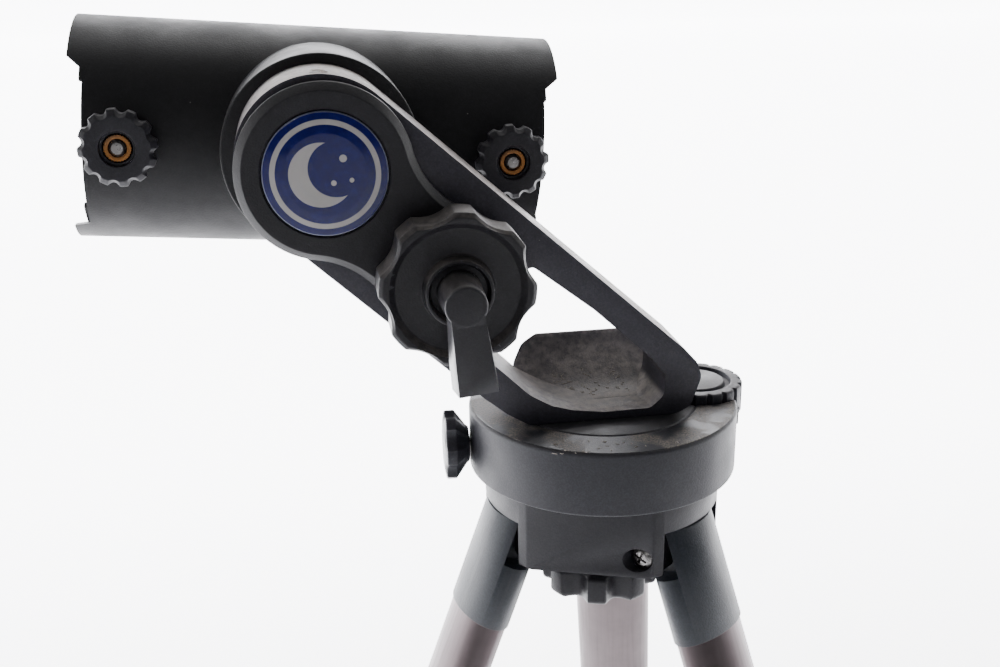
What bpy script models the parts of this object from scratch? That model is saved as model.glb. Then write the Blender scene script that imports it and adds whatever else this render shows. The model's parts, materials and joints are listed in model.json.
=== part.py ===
"""Alt-azimuth telescope mount on its folding tripod, one object for each piece.

Lengths are in millimetres here; every mesh and every location is scaled by MM, so the scene
is in metres, +Z up. The origin is on the ground, under the middle of the tripod's footprint.

Frames (empties), each on the axis of the joint that its pieces turn about:
  deck       azimuth axis, at the top of the azimuth housing
  front      at the hub, local x right, local y up, local z towards the front (world -Y)
  altitude   as front, turned by the tube's tilt
  leg_*      at a leg's hinge, local x along the hinge, local y outwards, local z up the leg
"""
import math

import bmesh
import bpy
from mathutils import Matrix, Vector

MM = 0.001
GAP = 0.3                      # clearance between neighbouring pieces

# legs
LEG_ANGLES = {"right": 310.0, "back": 70.0, "left": 190.0}
LEG_SPREAD = 20.8              # degrees from the vertical
HINGE_REACH = 30.6             # hinge from the azimuth axis
HINGE_Z = -41.7                # hinge below the deck
LEG_OFFSET = 2.8               # tube centre outside the hinge
CAP_WIDTH, CAP_DEPTH = 31.2, 18.6
TUBE_WIDTH, TUBE_DEPTH = 29.8, 17.2
INNER_WIDTH, INNER_DEPTH = 26.2, 13.6
TUBE_WALL = 1.2
OVAL_SIDES = 16
TUBE_TOP, TUBE_END = -20.3, -440.0
CAP_END = -33.0
NOTCH_AT = 7.3                 # inner face of the cap's outer wall
LOWER_TOP, LOWER_END = -120.0, -530.0
COLLAR_TOP, COLLAR_END = -428.0, -474.0
FOOT_LEVEL = -548.0            # along the leg, where its centre line meets the ground pad
FOOT_RADIUS = 14.0
FOOT_PAD = 9.0

# azimuth housing and what it turns on
HOUSING_R, HOUSING_H = 45.2, 21.6
CAVITY_R, CAVITY_TOP = 41.4, -3.6
WHEEL_ANGLE = 6.4
WHEEL_R, WHEEL_TOP, WHEEL_BOTTOM = 16.25, 3.1, -7.3
WHEEL_GROOVES = 18
RING_TEETH, WHEEL_TEETH = 56, 12
LOCK_ANGLE, LOCK_Z = 176.7, -13.8

# tripod head
HEAD_R, HEAD_TOP, HEAD_BOTTOM = 40.0, -21.9, -48.0
HEAD_FLAT = 34.5               # azimuth axis to each flat
POCKET_REACH, POCKET_TOP = 34.5, -32.6
SLOT_WIDTH, TONGUE_WIDTH = 14.2, 13.6

# arm, in the front frame's directions but measured from the deck
HUB = (-88.9, 85.7)            # altitude axis: x, z
ARM_FRONT, ARM_BACK = 18.5, -7.4
ARM_R = 25.3
HUB_TEETH, IDLER_TEETH, PINION_TEETH = 38, 23, 14
TRAIN_ANGLE = -42.8            # from the hub to the knob, seen from the front
ADDENDUM, DEDENDUM = 0.9, 1.25

# cover, badge and knob, along local z
COVER_BACK, COVER_EDGE, COVER_FACE = 18.8, 21.3, 23.6
COVER_R, COVER_END_R, COVER_FILLET, COVER_BEVEL = 26.2, 20.6, 28.1, 2.3
BADGE_R = 18.2
KNOB_R, KNOB_BACK, KNOB_FRONT = 23.4, 24.3, 37.8
LEVER_TILT = -83.5             # direction of the lever from its axis
LEVER_LENGTH = 26.5

# cradle, along the tube
TILT = 4.6                     # objective end down at rest
CRADLE_HALF, CRADLE_NECK = 78.6, 73.5
CRADLE_R, CRADLE_WALL = 37.0, 2.0
CRADLE_AT = (-2.5, -58.6)      # centre of the shell: y, z of the altitude frame
CRADLE_SPAN = 100              # degrees each way from the front
BOSS_R, BOSS_FACE = 31.0, -7.7
NUT_REACH, NUT_Y, NUT_R = 62.0, -1.7, 12.1

PLASTIC = ("satin_black_plastic", (0.020, 0.019, 0.023), 0.45, 0.0)
GREY_PLASTIC = ("grey_black_plastic", (0.045, 0.047, 0.055), 0.5, 0.0)
CAP_PLASTIC = ("blue_grey_plastic", (0.050, 0.060, 0.075), 0.45, 0.0)
METAL_PAINT = ("black_painted_metal", (0.022, 0.021, 0.026), 0.42, 0.3)
TUBE_METAL = ("anodised_tube", (0.34, 0.29, 0.30), 0.35, 0.9)
STEEL = ("plated_steel", (0.55, 0.55, 0.56), 0.3, 1.0)
BRASS = ("brass", (0.55, 0.33, 0.12), 0.4, 1.0)
BADGE_BLUE = ("badge_enamel", (0.02, 0.04, 0.30), 0.12, 0.0)
NYLON = ("white_nylon", (0.62, 0.60, 0.55), 0.5, 0.0)
RUBBER = ("black_rubber", (0.018, 0.018, 0.018), 0.8, 0.0)


def clear_scene():
    for old in list(bpy.data.objects):
        bpy.data.objects.remove(old, do_unlink=True)


def get_material(spec):
    name, color, roughness, metallic = spec
    material = bpy.data.materials.get(name)
    if material:
        return material
    material = bpy.data.materials.new(name)
    material.use_nodes = True
    shader = material.node_tree.nodes["Principled BSDF"]
    shader.inputs["Base Color"].default_value = (*color, 1.0)
    shader.inputs["Roughness"].default_value = roughness
    shader.inputs["Metallic"].default_value = metallic
    return material


def frame(name, location, rotation, parent):
    """Empty that carries pieces; location in millimetres, rotation a 3x3 matrix or None."""
    empty = bpy.data.objects.new(name, None)
    bpy.context.scene.collection.objects.link(empty)
    turn = rotation.to_4x4() if rotation else Matrix()
    empty.parent = parent
    empty.matrix_local = Matrix.Translation(Vector(location) * MM) @ turn
    return empty


def rotation(axis, degrees):
    return Matrix.Rotation(math.radians(degrees), 3, axis)


def make_object(name, bm, parent, spec, smooth=35.0):
    """Turn a bmesh in millimetres into an object in metres under its frame."""
    bmesh.ops.scale(bm, vec=(MM, MM, MM), verts=bm.verts)
    bmesh.ops.recalc_face_normals(bm, faces=bm.faces)
    mesh = bpy.data.meshes.new(name)
    bm.to_mesh(mesh)
    bm.free()
    mesh.shade_smooth()
    mesh.set_sharp_from_angle(angle=math.radians(smooth))
    obj = bpy.data.objects.new(name, mesh)
    bpy.context.scene.collection.objects.link(obj)
    obj.parent = parent
    if spec:
        mesh.materials.append(get_material(spec))
    return obj


def helper(name, bm, parent):
    """Operand of a Boolean; it is never part of the model itself."""
    obj = make_object(name, bm, parent, None)
    obj.hide_render = True
    obj.display_type = "WIRE"
    return obj


def boolean(obj, operation, bm, parent=None):
    """Apply a Boolean of the given kind with a helper made from the bmesh."""
    count = len(obj.modifiers)
    operand = helper(f"{obj.name}_{operation.lower()}_{count}", bm, parent or obj.parent)
    modifier = obj.modifiers.new(f"{operation.lower()}_{count}", "BOOLEAN")
    modifier.operation = operation
    modifier.solver = "EXACT"
    modifier.object = operand
    return operand


def cut(obj, bm, parent=None):
    return boolean(obj, "DIFFERENCE", bm, parent)


def join(obj, bm, parent=None):
    return boolean(obj, "UNION", bm, parent)


def bridge(bm, low, high):
    """Faces between two rings of vertices; a ring of one vertex is a pole."""
    count = max(len(low), len(high))
    for i in range(count):
        j = (i + 1) % count
        if len(low) == 1:
            corners = (low[0], high[j], high[i])
        elif len(high) == 1:
            corners = (low[i], low[j], high[0])
        else:
            corners = (low[i], low[j], high[j], high[i])
        bm.faces.new(corners)


def lathe(profile, segments=48, centre=(0.0, 0.0), scallop=None):
    """Solid of revolution about z from points (radius, z[, share of the scallop]).

    A profile that starts and ends on the axis is a full solid; any other is closed into a ring.
    """
    bm = bmesh.new()
    rings = []
    for radius, height, *share in profile:
        if radius == 0:
            rings.append([bm.verts.new((*centre, height))])
            continue
        ring = []
        for i in range(segments):
            angle = math.tau * i / segments
            dip = scallop(angle) * share[0] if share else 0.0
            x = centre[0] + (radius - dip) * math.cos(angle)
            y = centre[1] + (radius - dip) * math.sin(angle)
            ring.append(bm.verts.new((x, y, height)))
        rings.append(ring)
    for low, high in zip(rings, rings[1:]):
        bridge(bm, low, high)
    if profile[0][0] > 0:
        bridge(bm, rings[-1], rings[0])
    return bm


def cylinder(radius, low, high, segments=24, centre=(0.0, 0.0)):
    return lathe([(0, low), (radius, low), (radius, high), (0, high)], segments, centre)


def ring(inner, outer, low, high, segments=32):
    return lathe([(inner, low), (outer, low), (outer, high), (inner, high)], segments)


def loft(sections):
    """Solid through outlines with equal point counts, given as (points, z)."""
    bm = bmesh.new()
    rings = []
    for points, height in sections:
        rings.append([bm.verts.new((*point, height)) for point in points])
    for low, high in zip(rings, rings[1:]):
        bridge(bm, low, high)
    bm.faces.new(rings[0])
    bm.faces.new(rings[-1])
    return bm


def prism(points, low, high):
    return loft([(points, low), (points, high)])


def box(low, high):
    corners = [(low[0], low[1]), (high[0], low[1]), (high[0], high[1]), (low[0], high[1])]
    return prism(corners, low[2], high[2])


def gathered(solids):
    """One bmesh that holds several solids clear of each other."""
    whole = bmesh.new()
    for solid in solids:
        mesh = bpy.data.meshes.new("solid")
        solid.to_mesh(mesh)
        solid.free()
        whole.from_mesh(mesh)
        bpy.data.meshes.remove(mesh)
    return whole


def turned(bm, matrix, location=(0, 0, 0)):
    """Turn a bmesh about the origin, then move it."""
    bmesh.ops.transform(bm, matrix=Matrix.Translation(location) @ matrix.to_4x4(), verts=bm.verts)
    return bm


def arc(centre, radius, start, end, steps):
    """Points of an arc, both ends included; angles in degrees."""
    points = []
    for i in range(steps + 1):
        angle = math.radians(start + (end - start) * i / steps)
        points.append((centre[0] + radius * math.cos(angle), centre[1] + radius * math.sin(angle)))
    return points


def oval(width, depth):
    """Rounded section of a leg: an ellipse, width along x and depth along y."""
    points = []
    for i in range(OVAL_SIDES):
        angle = math.tau * i / OVAL_SIDES
        points.append((width / 2 * math.cos(angle),
                       LEG_OFFSET + depth / 2 * math.sin(angle)))
    return points


def oval_tube(width, depth, low, high):
    """Tube of oval section, open at both ends."""
    bm = bmesh.new()
    rings = []
    for inset, height in ((0, low), (0, high), (TUBE_WALL, high), (TUBE_WALL, low)):
        points = oval(width - 2 * inset, depth - 2 * inset)
        rings.append([bm.verts.new((*point, height)) for point in points])
    for low_ring, high_ring in zip(rings, rings[1:] + rings[:1]):
        bridge(bm, low_ring, high_ring)
    return bm


def oval_fit(width, depth, low, high):
    """Cutter for a sleeve that an oval of this size slides in."""
    return prism(oval(width + 2 * GAP, depth + 2 * GAP), low, high)


def lobes(count, depth, half_width):
    """Hollows between lobes: half_width is a hollow's share of the pitch, 0 to 0.5."""
    def dip(angle):
        place = (angle * count / math.tau) % 1.0 - 0.5
        return depth * max(0.0, 1.0 - (place / half_width) ** 2)
    return dip


def make_gear(name, teeth, first_tooth, low, high, bore, parent, spec):
    """Spur gear of module 1 with straight-sided teeth; first_tooth is an angle in degrees."""
    pitch_radius = teeth / 2
    outline = []
    for i in range(teeth):
        middle = math.radians(first_tooth) + math.tau * i / teeth
        for radius, half in ((pitch_radius - DEDENDUM, 1.05), (pitch_radius + ADDENDUM, 0.32)):
            outline.append((radius, middle - half / radius))
        for radius, half in ((pitch_radius + ADDENDUM, 0.32), (pitch_radius - DEDENDUM, 1.05)):
            outline.append((radius, middle + half / radius))
    points = [(r * math.cos(a), r * math.sin(a)) for r, a in outline]
    wheel = make_object(name, prism(points, low, high), parent, spec)
    if bore:
        cut(wheel, cylinder(bore, low - 1, high + 1, 14))
    return wheel


def along(start, degrees, distance):
    angle = math.radians(degrees)
    return (start[0] + distance * math.cos(angle), start[1] + distance * math.sin(angle))


def polar(radius, degrees):
    return along((0.0, 0.0), degrees, radius)


def leg_point(local_y, local_z):
    """Distance from the azimuth axis and height below the deck of a point of a leg."""
    spread = math.radians(LEG_SPREAD)
    reach = HINGE_REACH + local_y * math.cos(spread) - local_z * math.sin(spread)
    height = HINGE_Z + local_y * math.sin(spread) + local_z * math.cos(spread)
    return reach, height


# ------------------------------------------------------------------ azimuth housing group

def build_housing(deck):
    rim = HOUSING_R
    base = -HOUSING_H
    housing = make_object("azimuth_housing", lathe([
        (3.4, -3.2), (7.0, -3.2), (7.0, 0), (rim - 1.3, 0), (rim, -1.3), (rim, base + 0.8),
        (rim - 0.8, base), (CAVITY_R, base), (CAVITY_R, CAVITY_TOP), (12.0, CAVITY_TOP),
        (12.0, -6.0), (3.4, -6.0)], 40), deck, PLASTIC)
    cup = join(housing, cylinder(WHEEL_R + 2.05, -8.8, CAVITY_TOP + 0.5, 28, WHEEL_AT))
    boolean(cup, "INTERSECT", cylinder(rim - 1.2, -9.5, 0, 40))
    floor = WHEEL_BOTTOM - GAP
    holes = [lathe([(0, -9.5), (3.3, -9.5), (3.3, floor), (WHEEL_R + 0.5, floor),
                    (WHEEL_R + 0.5, 1.0), (0, 1.0)], 28, WHEEL_AT)]
    holes += [cylinder(1.9, -5.0, 1.0, 10, place) for place in ARM_SCREWS]
    holes.append(turned(cylinder(2.7, CAVITY_R - 3, rim + 2, 12), LOCK_TURN, (0, 0, LOCK_Z)))
    cut(housing, gathered(holes))
    return housing


def build_azimuth_base(deck):
    make_object("azimuth_base_plate", lathe([
        (0, -13.0), (3.3, -13.0), (3.3, -6.3), (8.0, -6.3), (8.0, -12.2), (27.2, -12.2),
        (27.2, -17.8), (40.5, -17.8), (40.5, -21.6), (4.4, -21.6), (4.4, -15.0), (0, -15.0)], 28),
        deck, NYLON)
    make_gear("azimuth_ring_gear", RING_TEETH, WHEEL_ANGLE, -11.9, -9.3, 8.4, deck, NYLON)
    make_object("azimuth_pivot_bolt", lathe([
        (0, -12.7), (3.0, -12.7), (3.0, -2.9), (6.2, -2.9), (6.2, -0.5), (0, -0.5)], 16),
        deck, STEEL)


def build_thumbwheel(deck):
    wheel_frame = frame("thumbwheel_axis", (*WHEEL_AT, 0), None, deck)
    top, bottom, r = WHEEL_TOP, WHEEL_BOTTOM, WHEEL_R
    wheel = make_object("azimuth_thumbwheel", lathe([
        (0, top), (r - 0.8, top), (r, top - 0.8, 1), (r, bottom, 1), (0, bottom)],
        WHEEL_GROOVES * 4, scallop=lobes(WHEEL_GROOVES, 1.0, 0.25)), wheel_frame, GREY_PLASTIC)
    cut(wheel, ring(10.0, 12.3, top - 1.6, top + 1, 24))
    gap_facing = WHEEL_ANGLE + 180 + 180 / WHEEL_TEETH
    pinion = make_gear("thumbwheel_pinion", WHEEL_TEETH, gap_facing, -12.1, -9.1, 0,
                       wheel_frame, NYLON)
    join(pinion, cylinder(3.0, -10.0, WHEEL_BOTTOM - GAP, 16))


def build_azimuth_lock():
    r = 11.6
    make_object("azimuth_lock_knob", lathe([
        (0, 54.2), (8.6, 54.2), (10.9, 53.7, 1), (r, 53.0, 1), (r, 50.4, 1), (6.6, 46.4),
        (5.8, 45.7), (2.8, 45.7), (2.8, 50.4), (0, 50.4)], 30,
        scallop=lobes(6, 2.2, 0.34)), LOCK_FRAME, PLASTIC)
    make_object("azimuth_lock_screw", lathe([
        (0, 29.8), (1.8, 29.8), (2.4, 30.6), (2.4, 50.1), (0, 50.1)], 16), LOCK_FRAME, STEEL)
    make_object("brake_pad", cylinder(1.9, 27.6, 29.5, 16), LOCK_FRAME, RUBBER)


def build_arm_screws(deck):
    seat = CAVITY_TOP - GAP
    for index, (place, depth) in enumerate(zip(ARM_SCREWS, ARM_SCREW_DEPTHS), 1):
        make_object(f"arm_screw_{index}", lathe([
            (0, seat - 2.2), (2.9, seat - 2.2), (2.9, seat), (1.5, seat), (1.5, depth - 0.8),
            (0.6, depth), (0, depth)], 10, place), deck, STEEL)


def build_arm(deck, front):
    """Loop-shaped arm: hub end, two struts and the foot, with a scooped block behind it."""
    end = (HUB[0] - 0.6, HUB[1] + 2.6)
    outline = arc(end, ARM_R, 48, 232, 16)
    outline += [(-43.0, 10.5), (-36.0, 4.6), (-28.6, 0.3), (20.4, 0.3)]
    outline += [(24.2, 1.8), (27.2, 7.0), (28.4, 13.0), (27.0, 17.4), (22.5, 22.4)]
    slot_top = along(HUB, TRAIN_ANGLE, KNOB_REACH)
    slot = arc(slot_top, 21.6, -84, -2, 7)
    slot += [(-27.4, 53.0), (-7.8, 37.8), (11.3, 20.0), (15.6, 15.6), (16.9, 10.5), (15.3, 5.6)]
    slot += [(12.0, 3.4)]
    slot += [(5.8, 2.9), (-6.7, 3.2), (-14.4, 4.3), (-21.5, 6.4), (-28.5, 10.6), (-39.9, 21.8)]
    local = [(x - HUB[0], z - HUB[1]) for x, z in outline]
    arm = make_object("altitude_arm", prism(local, ARM_BACK, ARM_FRONT), front, METAL_PAINT)
    cut(arm, prism([(x - HUB[0], z - HUB[1]) for x, z in slot], ARM_BACK - 1, ARM_FRONT + 1))

    scoop = [(-6.0, 0.3), (30.8, 0.3), (30.0, 10.0), (26.0, 16.0), (16.0, 21.0)]
    scoop += arc((-4.0, 23.2), 20.0, -8, -88, 8)
    block = prism(scoop, -30.5, 30.5)
    turned(block, Matrix(((0, 0, 1), (1, 0, 0), (0, 1, 0))))
    hump = join(arm, block, deck)
    boolean(hump, "INTERSECT", lathe([
        (0, 0), (30.8, 0), (29.6, 16.0), (26.5, 21.0), (24.0, 22.0), (0, 22.0)], 36), deck)

    floor = 9.5
    pocket = turned(prism(gear_pocket(HUB_TEETH / 2 + 1.5, PINION_TEETH / 2 + 1.5),
                          floor, ARM_FRONT + 1), rotation("Z", TRAIN_ANGLE))
    cut(arm, pocket)
    cut(arm, cylinder(9.0, ARM_BACK - 1, floor + 1, 24))
    cut(arm, cylinder(16.5, ARM_BACK - 1, -5.6, 32))
    cut(arm, cylinder(2.3, 4.7, floor + 1, 16, IDLER_AT))
    cut(arm, cylinder(2.7, 5.2, floor + 1, 12, KNOB_AT))
    cut(arm, cylinder(WHEEL_R + 0.6, -1, WHEEL_TOP + 0.5, 32, WHEEL_AT), deck)
    for place, depth in zip(ARM_SCREWS, ARM_SCREW_DEPTHS):
        cut(arm, cylinder(1.9, -1, depth + 0.6, 10, place), deck)


# ------------------------------------------------------------------ altitude drive

def gear_pocket(r1, r2):
    """Outline round two circles, one at the hub and one at the knob, with straight flanks."""
    turn = math.degrees(math.acos((r1 - r2) / KNOB_REACH))
    return arc((0, 0), r1, turn, 360 - turn, 20) + arc((KNOB_REACH, 0), r2, -turn, turn, 8)


def pear(r1, r2, fillet):
    """Outline of the cover: two circles joined by hollow flanks, from the hub to the knob."""
    reach = KNOB_REACH
    a, b = r1 + fillet, r2 + fillet
    along_axis = (a * a - b * b + reach * reach) / (2 * reach)
    aside = math.sqrt(a * a - along_axis * along_axis)
    open_1 = math.degrees(math.atan2(aside, along_axis))
    open_2 = math.degrees(math.atan2(aside, along_axis - reach))
    points = arc((0, 0), r1, open_1, 360 - open_1, 20)
    points += arc((along_axis, -aside), fillet, 180 - open_1, 180 - open_2, 6)[1:]
    points += arc((reach, 0), r2, -open_2, open_2, 10)[1:]
    points += arc((along_axis, aside), fillet, open_2 - 180, open_1 - 180, 6)[1:-1]
    turn = math.radians(TRAIN_ANGLE)
    return [(x * math.cos(turn) - y * math.sin(turn), x * math.sin(turn) + y * math.cos(turn))
            for x, y in points]


def build_cover(front):
    outer = pear(COVER_R, COVER_END_R, COVER_FILLET)
    face = pear(COVER_R - COVER_BEVEL, COVER_END_R - COVER_BEVEL, COVER_FILLET + COVER_BEVEL)
    cover = make_object("gear_cover", loft([
        (outer, COVER_BACK), (outer, COVER_EDGE), (face, COVER_FACE)]), front, PLASTIC)
    cut(cover, cylinder(BADGE_R + 0.4, COVER_FACE - 1.5, COVER_FACE + 1, 36))
    cut(cover, cylinder(4.5, COVER_BACK - 1, COVER_FACE + 1, 20, KNOB_AT))
    seat = COVER_FACE - 1.5 + GAP
    make_object("badge", lathe([
        (0, seat), (BADGE_R, seat), (BADGE_R, seat + 0.9), (BADGE_R - 1.0, seat + 1.5),
        (BADGE_R * 0.6, seat + 2.0), (0, seat + 2.2)], 36),
        front, BADGE_BLUE)


def build_gear_train(front, altitude, idler_axis, knob_axis):
    make_gear("hub_gear", HUB_TEETH, TRAIN_ANGLE + TILT, 11.0, 15.6, 4.4, altitude, NYLON)
    nut = [polar(7.0, 60 * i) for i in range(6)]
    hub_nut = make_object("hub_nut", prism(nut, 15.9, 18.2), altitude, STEEL)
    cut(hub_nut, cylinder(4.3, 15, 19, 16))
    make_object("altitude_shaft", lathe([
        (0, -23.5), (9.0, -23.5), (9.0, -21.5), (4.0, -21.5), (4.0, 17.2),
        (3.2, 17.9), (0, 17.9)], 16), altitude, STEEL)
    make_object("hub_bushing", ring(4.4, 8.7, -5.4, 9.2, 20), front, BRASS)
    make_object("friction_washer", ring(9.4, 16.0, ARM_BACK, -5.9, 24), front, NYLON)
    make_gear("idler_gear", IDLER_TEETH, TRAIN_ANGLE, 11.0, 15.6, 2.4, idler_axis, NYLON)
    make_object("idler_pin", lathe([
        (0, 5.0), (2.0, 5.0), (2.0, 15.9), (3.4, 15.9), (3.4, 17.6), (0, 17.6)], 16, IDLER_AT),
        front, STEEL)
    gap_facing = TRAIN_ANGLE + 180 + 180 / PINION_TEETH
    pinion = make_gear("slow_motion_pinion", PINION_TEETH, gap_facing, 11.0, 15.6, 0,
                       knob_axis, BRASS)
    join(pinion, cylinder(4.0, 14.0, 32.6, 16))
    cut(pinion, cylinder(2.7, 10.0, 34.0, 12))


def build_knob(knob_axis):
    r, back, face = KNOB_R, KNOB_BACK, KNOB_FRONT
    knob = lathe([
        (2.8, 33.0), (2.8, 37.4), (8.6, 37.4), (9.0, 40.2), (10.2, 39.6), (10.4, 36.0),
        (18.8, 36.0), (20.3, face), (r - 1.2, face, 0.6), (r, face - 1.2, 1),
        (r, back + 1.0, 1), (r - 1.0, back, 1), (4.4, back), (4.4, 33.0)], 40,
        scallop=lobes(8, 2.2, 0.36))
    make_object("slow_motion_knob", turned(knob, rotation("Z", -6)), knob_axis, PLASTIC)


def build_lever(lever_axis):
    """L-shaped clamp lever: a round boss on the axis and a blade that widens to its tip."""
    lever = make_object("clamp_lever", lathe([
        (0, 38.0), (6.7, 38.0), (6.2, 52.4), (5.6, 53.0), (0, 53.0)], 20), lever_axis, PLASTIC)

    def blade(grow):
        neck, tip = 4.9 + grow * 0.4, 5.7 + grow
        return [(1.5, -neck), (6.0, -neck), (LEVER_LENGTH - 8, -tip + 0.4), (LEVER_LENGTH, -tip),
                (LEVER_LENGTH, tip), (LEVER_LENGTH - 8, tip - 0.4), (6.0, neck), (1.5, neck)]
    join(lever, turned(loft([(blade(1.0), 45.0), (blade(0.0), 52.9)]),
                       rotation("Z", LEVER_TILT)))
    cut(lever, cylinder(2.7, 37, 49.3, 12))
    make_object("clamp_screw", lathe([
        (0, 5.6), (2.0, 5.6), (2.3, 6.2), (2.3, 48.9), (0, 48.9)], 12), lever_axis, STEEL)


# ------------------------------------------------------------------ cradle

def shell_section(radius, span):
    """Segment of a circle about the shell's centre, in the (y, z) plane of the altitude frame."""
    return [(CRADLE_AT[0] + y, CRADLE_AT[1] + z) for z, y in arc((0, 0), radius, -span, span, 20)]


def along_tube(points, half):
    """Prism along the tube from outline points (y, z)."""
    return turned(prism(points, -half, half), Matrix(((0, 0, 1), (1, 0, 0), (0, 1, 0))))


def build_cradle(altitude):
    inner = CRADLE_R - CRADLE_WALL
    cradle = make_object("cradle", along_tube(shell_section(CRADLE_R, CRADLE_SPAN), CRADLE_HALF),
                         altitude, METAL_PAINT)
    join(cradle, lathe([(0, BOSS_FACE), (BOSS_R - 0.6, BOSS_FACE), (BOSS_R, BOSS_FACE - 0.6),
                        (BOSS_R, -44.0), (0, -44.0)], 40))
    hollow = arc((CRADLE_AT[1], CRADLE_AT[0]), inner, 0, 360, 40)[:-1]
    cut(cradle, along_tube([(y, z) for z, y in hollow], CRADLE_HALF + 1))
    for side in (-1, 1):
        notch = [(side * CRADLE_NECK, -30.0), (side * (CRADLE_HALF + 1), -31.5),
                 (side * (CRADLE_HALF + 1), 24.5), (side * CRADLE_NECK, 20.0)]
        cut(cradle, prism(notch, -50.0, 0.0))
        cut(cradle, cylinder(2.9, -40, 0, 12, (side * NUT_REACH, NUT_Y)))
    cut(cradle, lathe([(0, -40), (9.6, -40), (9.6, -21.2), (4.4, -21.2), (4.4, 0), (0, 0)], 20))
    for name, low, high in (("cradle_pad_lower", -62, -38), ("cradle_pad_upper", 34, 58)):
        section = shell_section_ring(inner - 2.3, inner - GAP, low, high)
        make_object(name, along_tube(section, CRADLE_NECK + 1.5), altitude, RUBBER)


def shell_section_ring(inner, outer, low, high):
    """Piece of a ring about the shell's centre, from one angle to another."""
    points = arc((0, 0), outer, low, high, 5) + arc((0, 0), inner, high, low, 5)
    return [(CRADLE_AT[0] + y, CRADLE_AT[1] + z) for z, y in points]


def build_thumb_nut(side, word, altitude):
    axis = frame(f"thumb_nut_axis_{word}", (side * NUT_REACH, NUT_Y, 0), None, altitude)
    r = NUT_R
    nut = make_object(f"thumb_nut_{word}", lathe([
        (0, -21.2), (7.5, -21.2), (7.5, -18.8), (r, -18.8, 1), (r, -15.6, 1),
        (r - 1.6, -14.0, 0.3), (0, -14.0)], 48, scallop=lobes(12, 1.4, 0.3)), axis, PLASTIC)
    cut(nut, lathe([(0, -22), (4.7, -22), (4.7, -15.7), (5.4, -15.7), (5.4, -13), (0, -13)], 20))
    make_object(f"nut_insert_{word}", ring(2.8, 4.4, -20.9, -15.5, 16), axis, BRASS)
    make_object(f"cradle_stud_{word}", lathe([
        (0, -26.0), (6.0, -26.0), (6.0, -24.6), (2.5, -24.6), (2.5, -15.0), (1.9, -14.5),
        (0, -14.5)], 12, (side * NUT_REACH, NUT_Y)), altitude, STEEL)


# ------------------------------------------------------------------ tripod

def build_head(deck):
    head = make_object("tripod_head", lathe([
        (0, HEAD_TOP), (HEAD_R, HEAD_TOP), (HEAD_R, HEAD_BOTTOM + 0.6),
        (HEAD_R - 0.6, HEAD_BOTTOM), (0, HEAD_BOTTOM)], 36), deck, PLASTIC)
    for angle in LEG_ANGLES.values():
        turn = rotation("Z", angle)
        flat = box((-60, -40, HEAD_BOTTOM - 1), (-HEAD_FLAT, 40, HEAD_TOP - 1.6))
        cut(head, turned(flat, turn))
        pocket = box((POCKET_REACH, -16, HEAD_BOTTOM - 1), (60, 16, POCKET_TOP))
        cut(head, turned(pocket, turn))
        half = SLOT_WIDTH / 2
        slot = box((20.0, -half, HEAD_BOTTOM - 1), (60, half, HINGE_Z + 8.6))
        cut(head, turned(slot, turn))
        hole = lathe([(0, -17.0), (2.4, -17.0), (2.4, 17.5), (4.2, 17.5), (4.2, 40), (0, 40)], 12)
        hole = turned(hole, rotation("X", 90), (HINGE_REACH, 0, HINGE_Z))
        cut(head, turned(hole, turn))
    cut(head, cylinder(4.4, HEAD_BOTTOM - 1, HEAD_TOP + 1, 16))


def build_mounting_knob(deck):
    r, top, bottom = 20.2, HEAD_BOTTOM - GAP, -68.6
    knob = lathe([
        (0, bottom), (r - 1.6, bottom, 0.8), (r, bottom + 1.6, 1), (r, -59.8, 1),
        (r - 1.2, -58.6, 1), (9.5, -57.0), (8.5, top), (4.4, top), (4.4, -63.0), (0, -63.0)], 40,
        scallop=lobes(8, 3.6, 0.28))
    make_object("mounting_knob", turned(knob, rotation("Z", -17)), deck, PLASTIC)
    make_object("mounting_stud", lathe([
        (0, -62.7), (4.0, -62.7), (4.0, -16.2), (3.2, -15.4), (0, -15.4)], 12), deck, STEEL)


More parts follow.
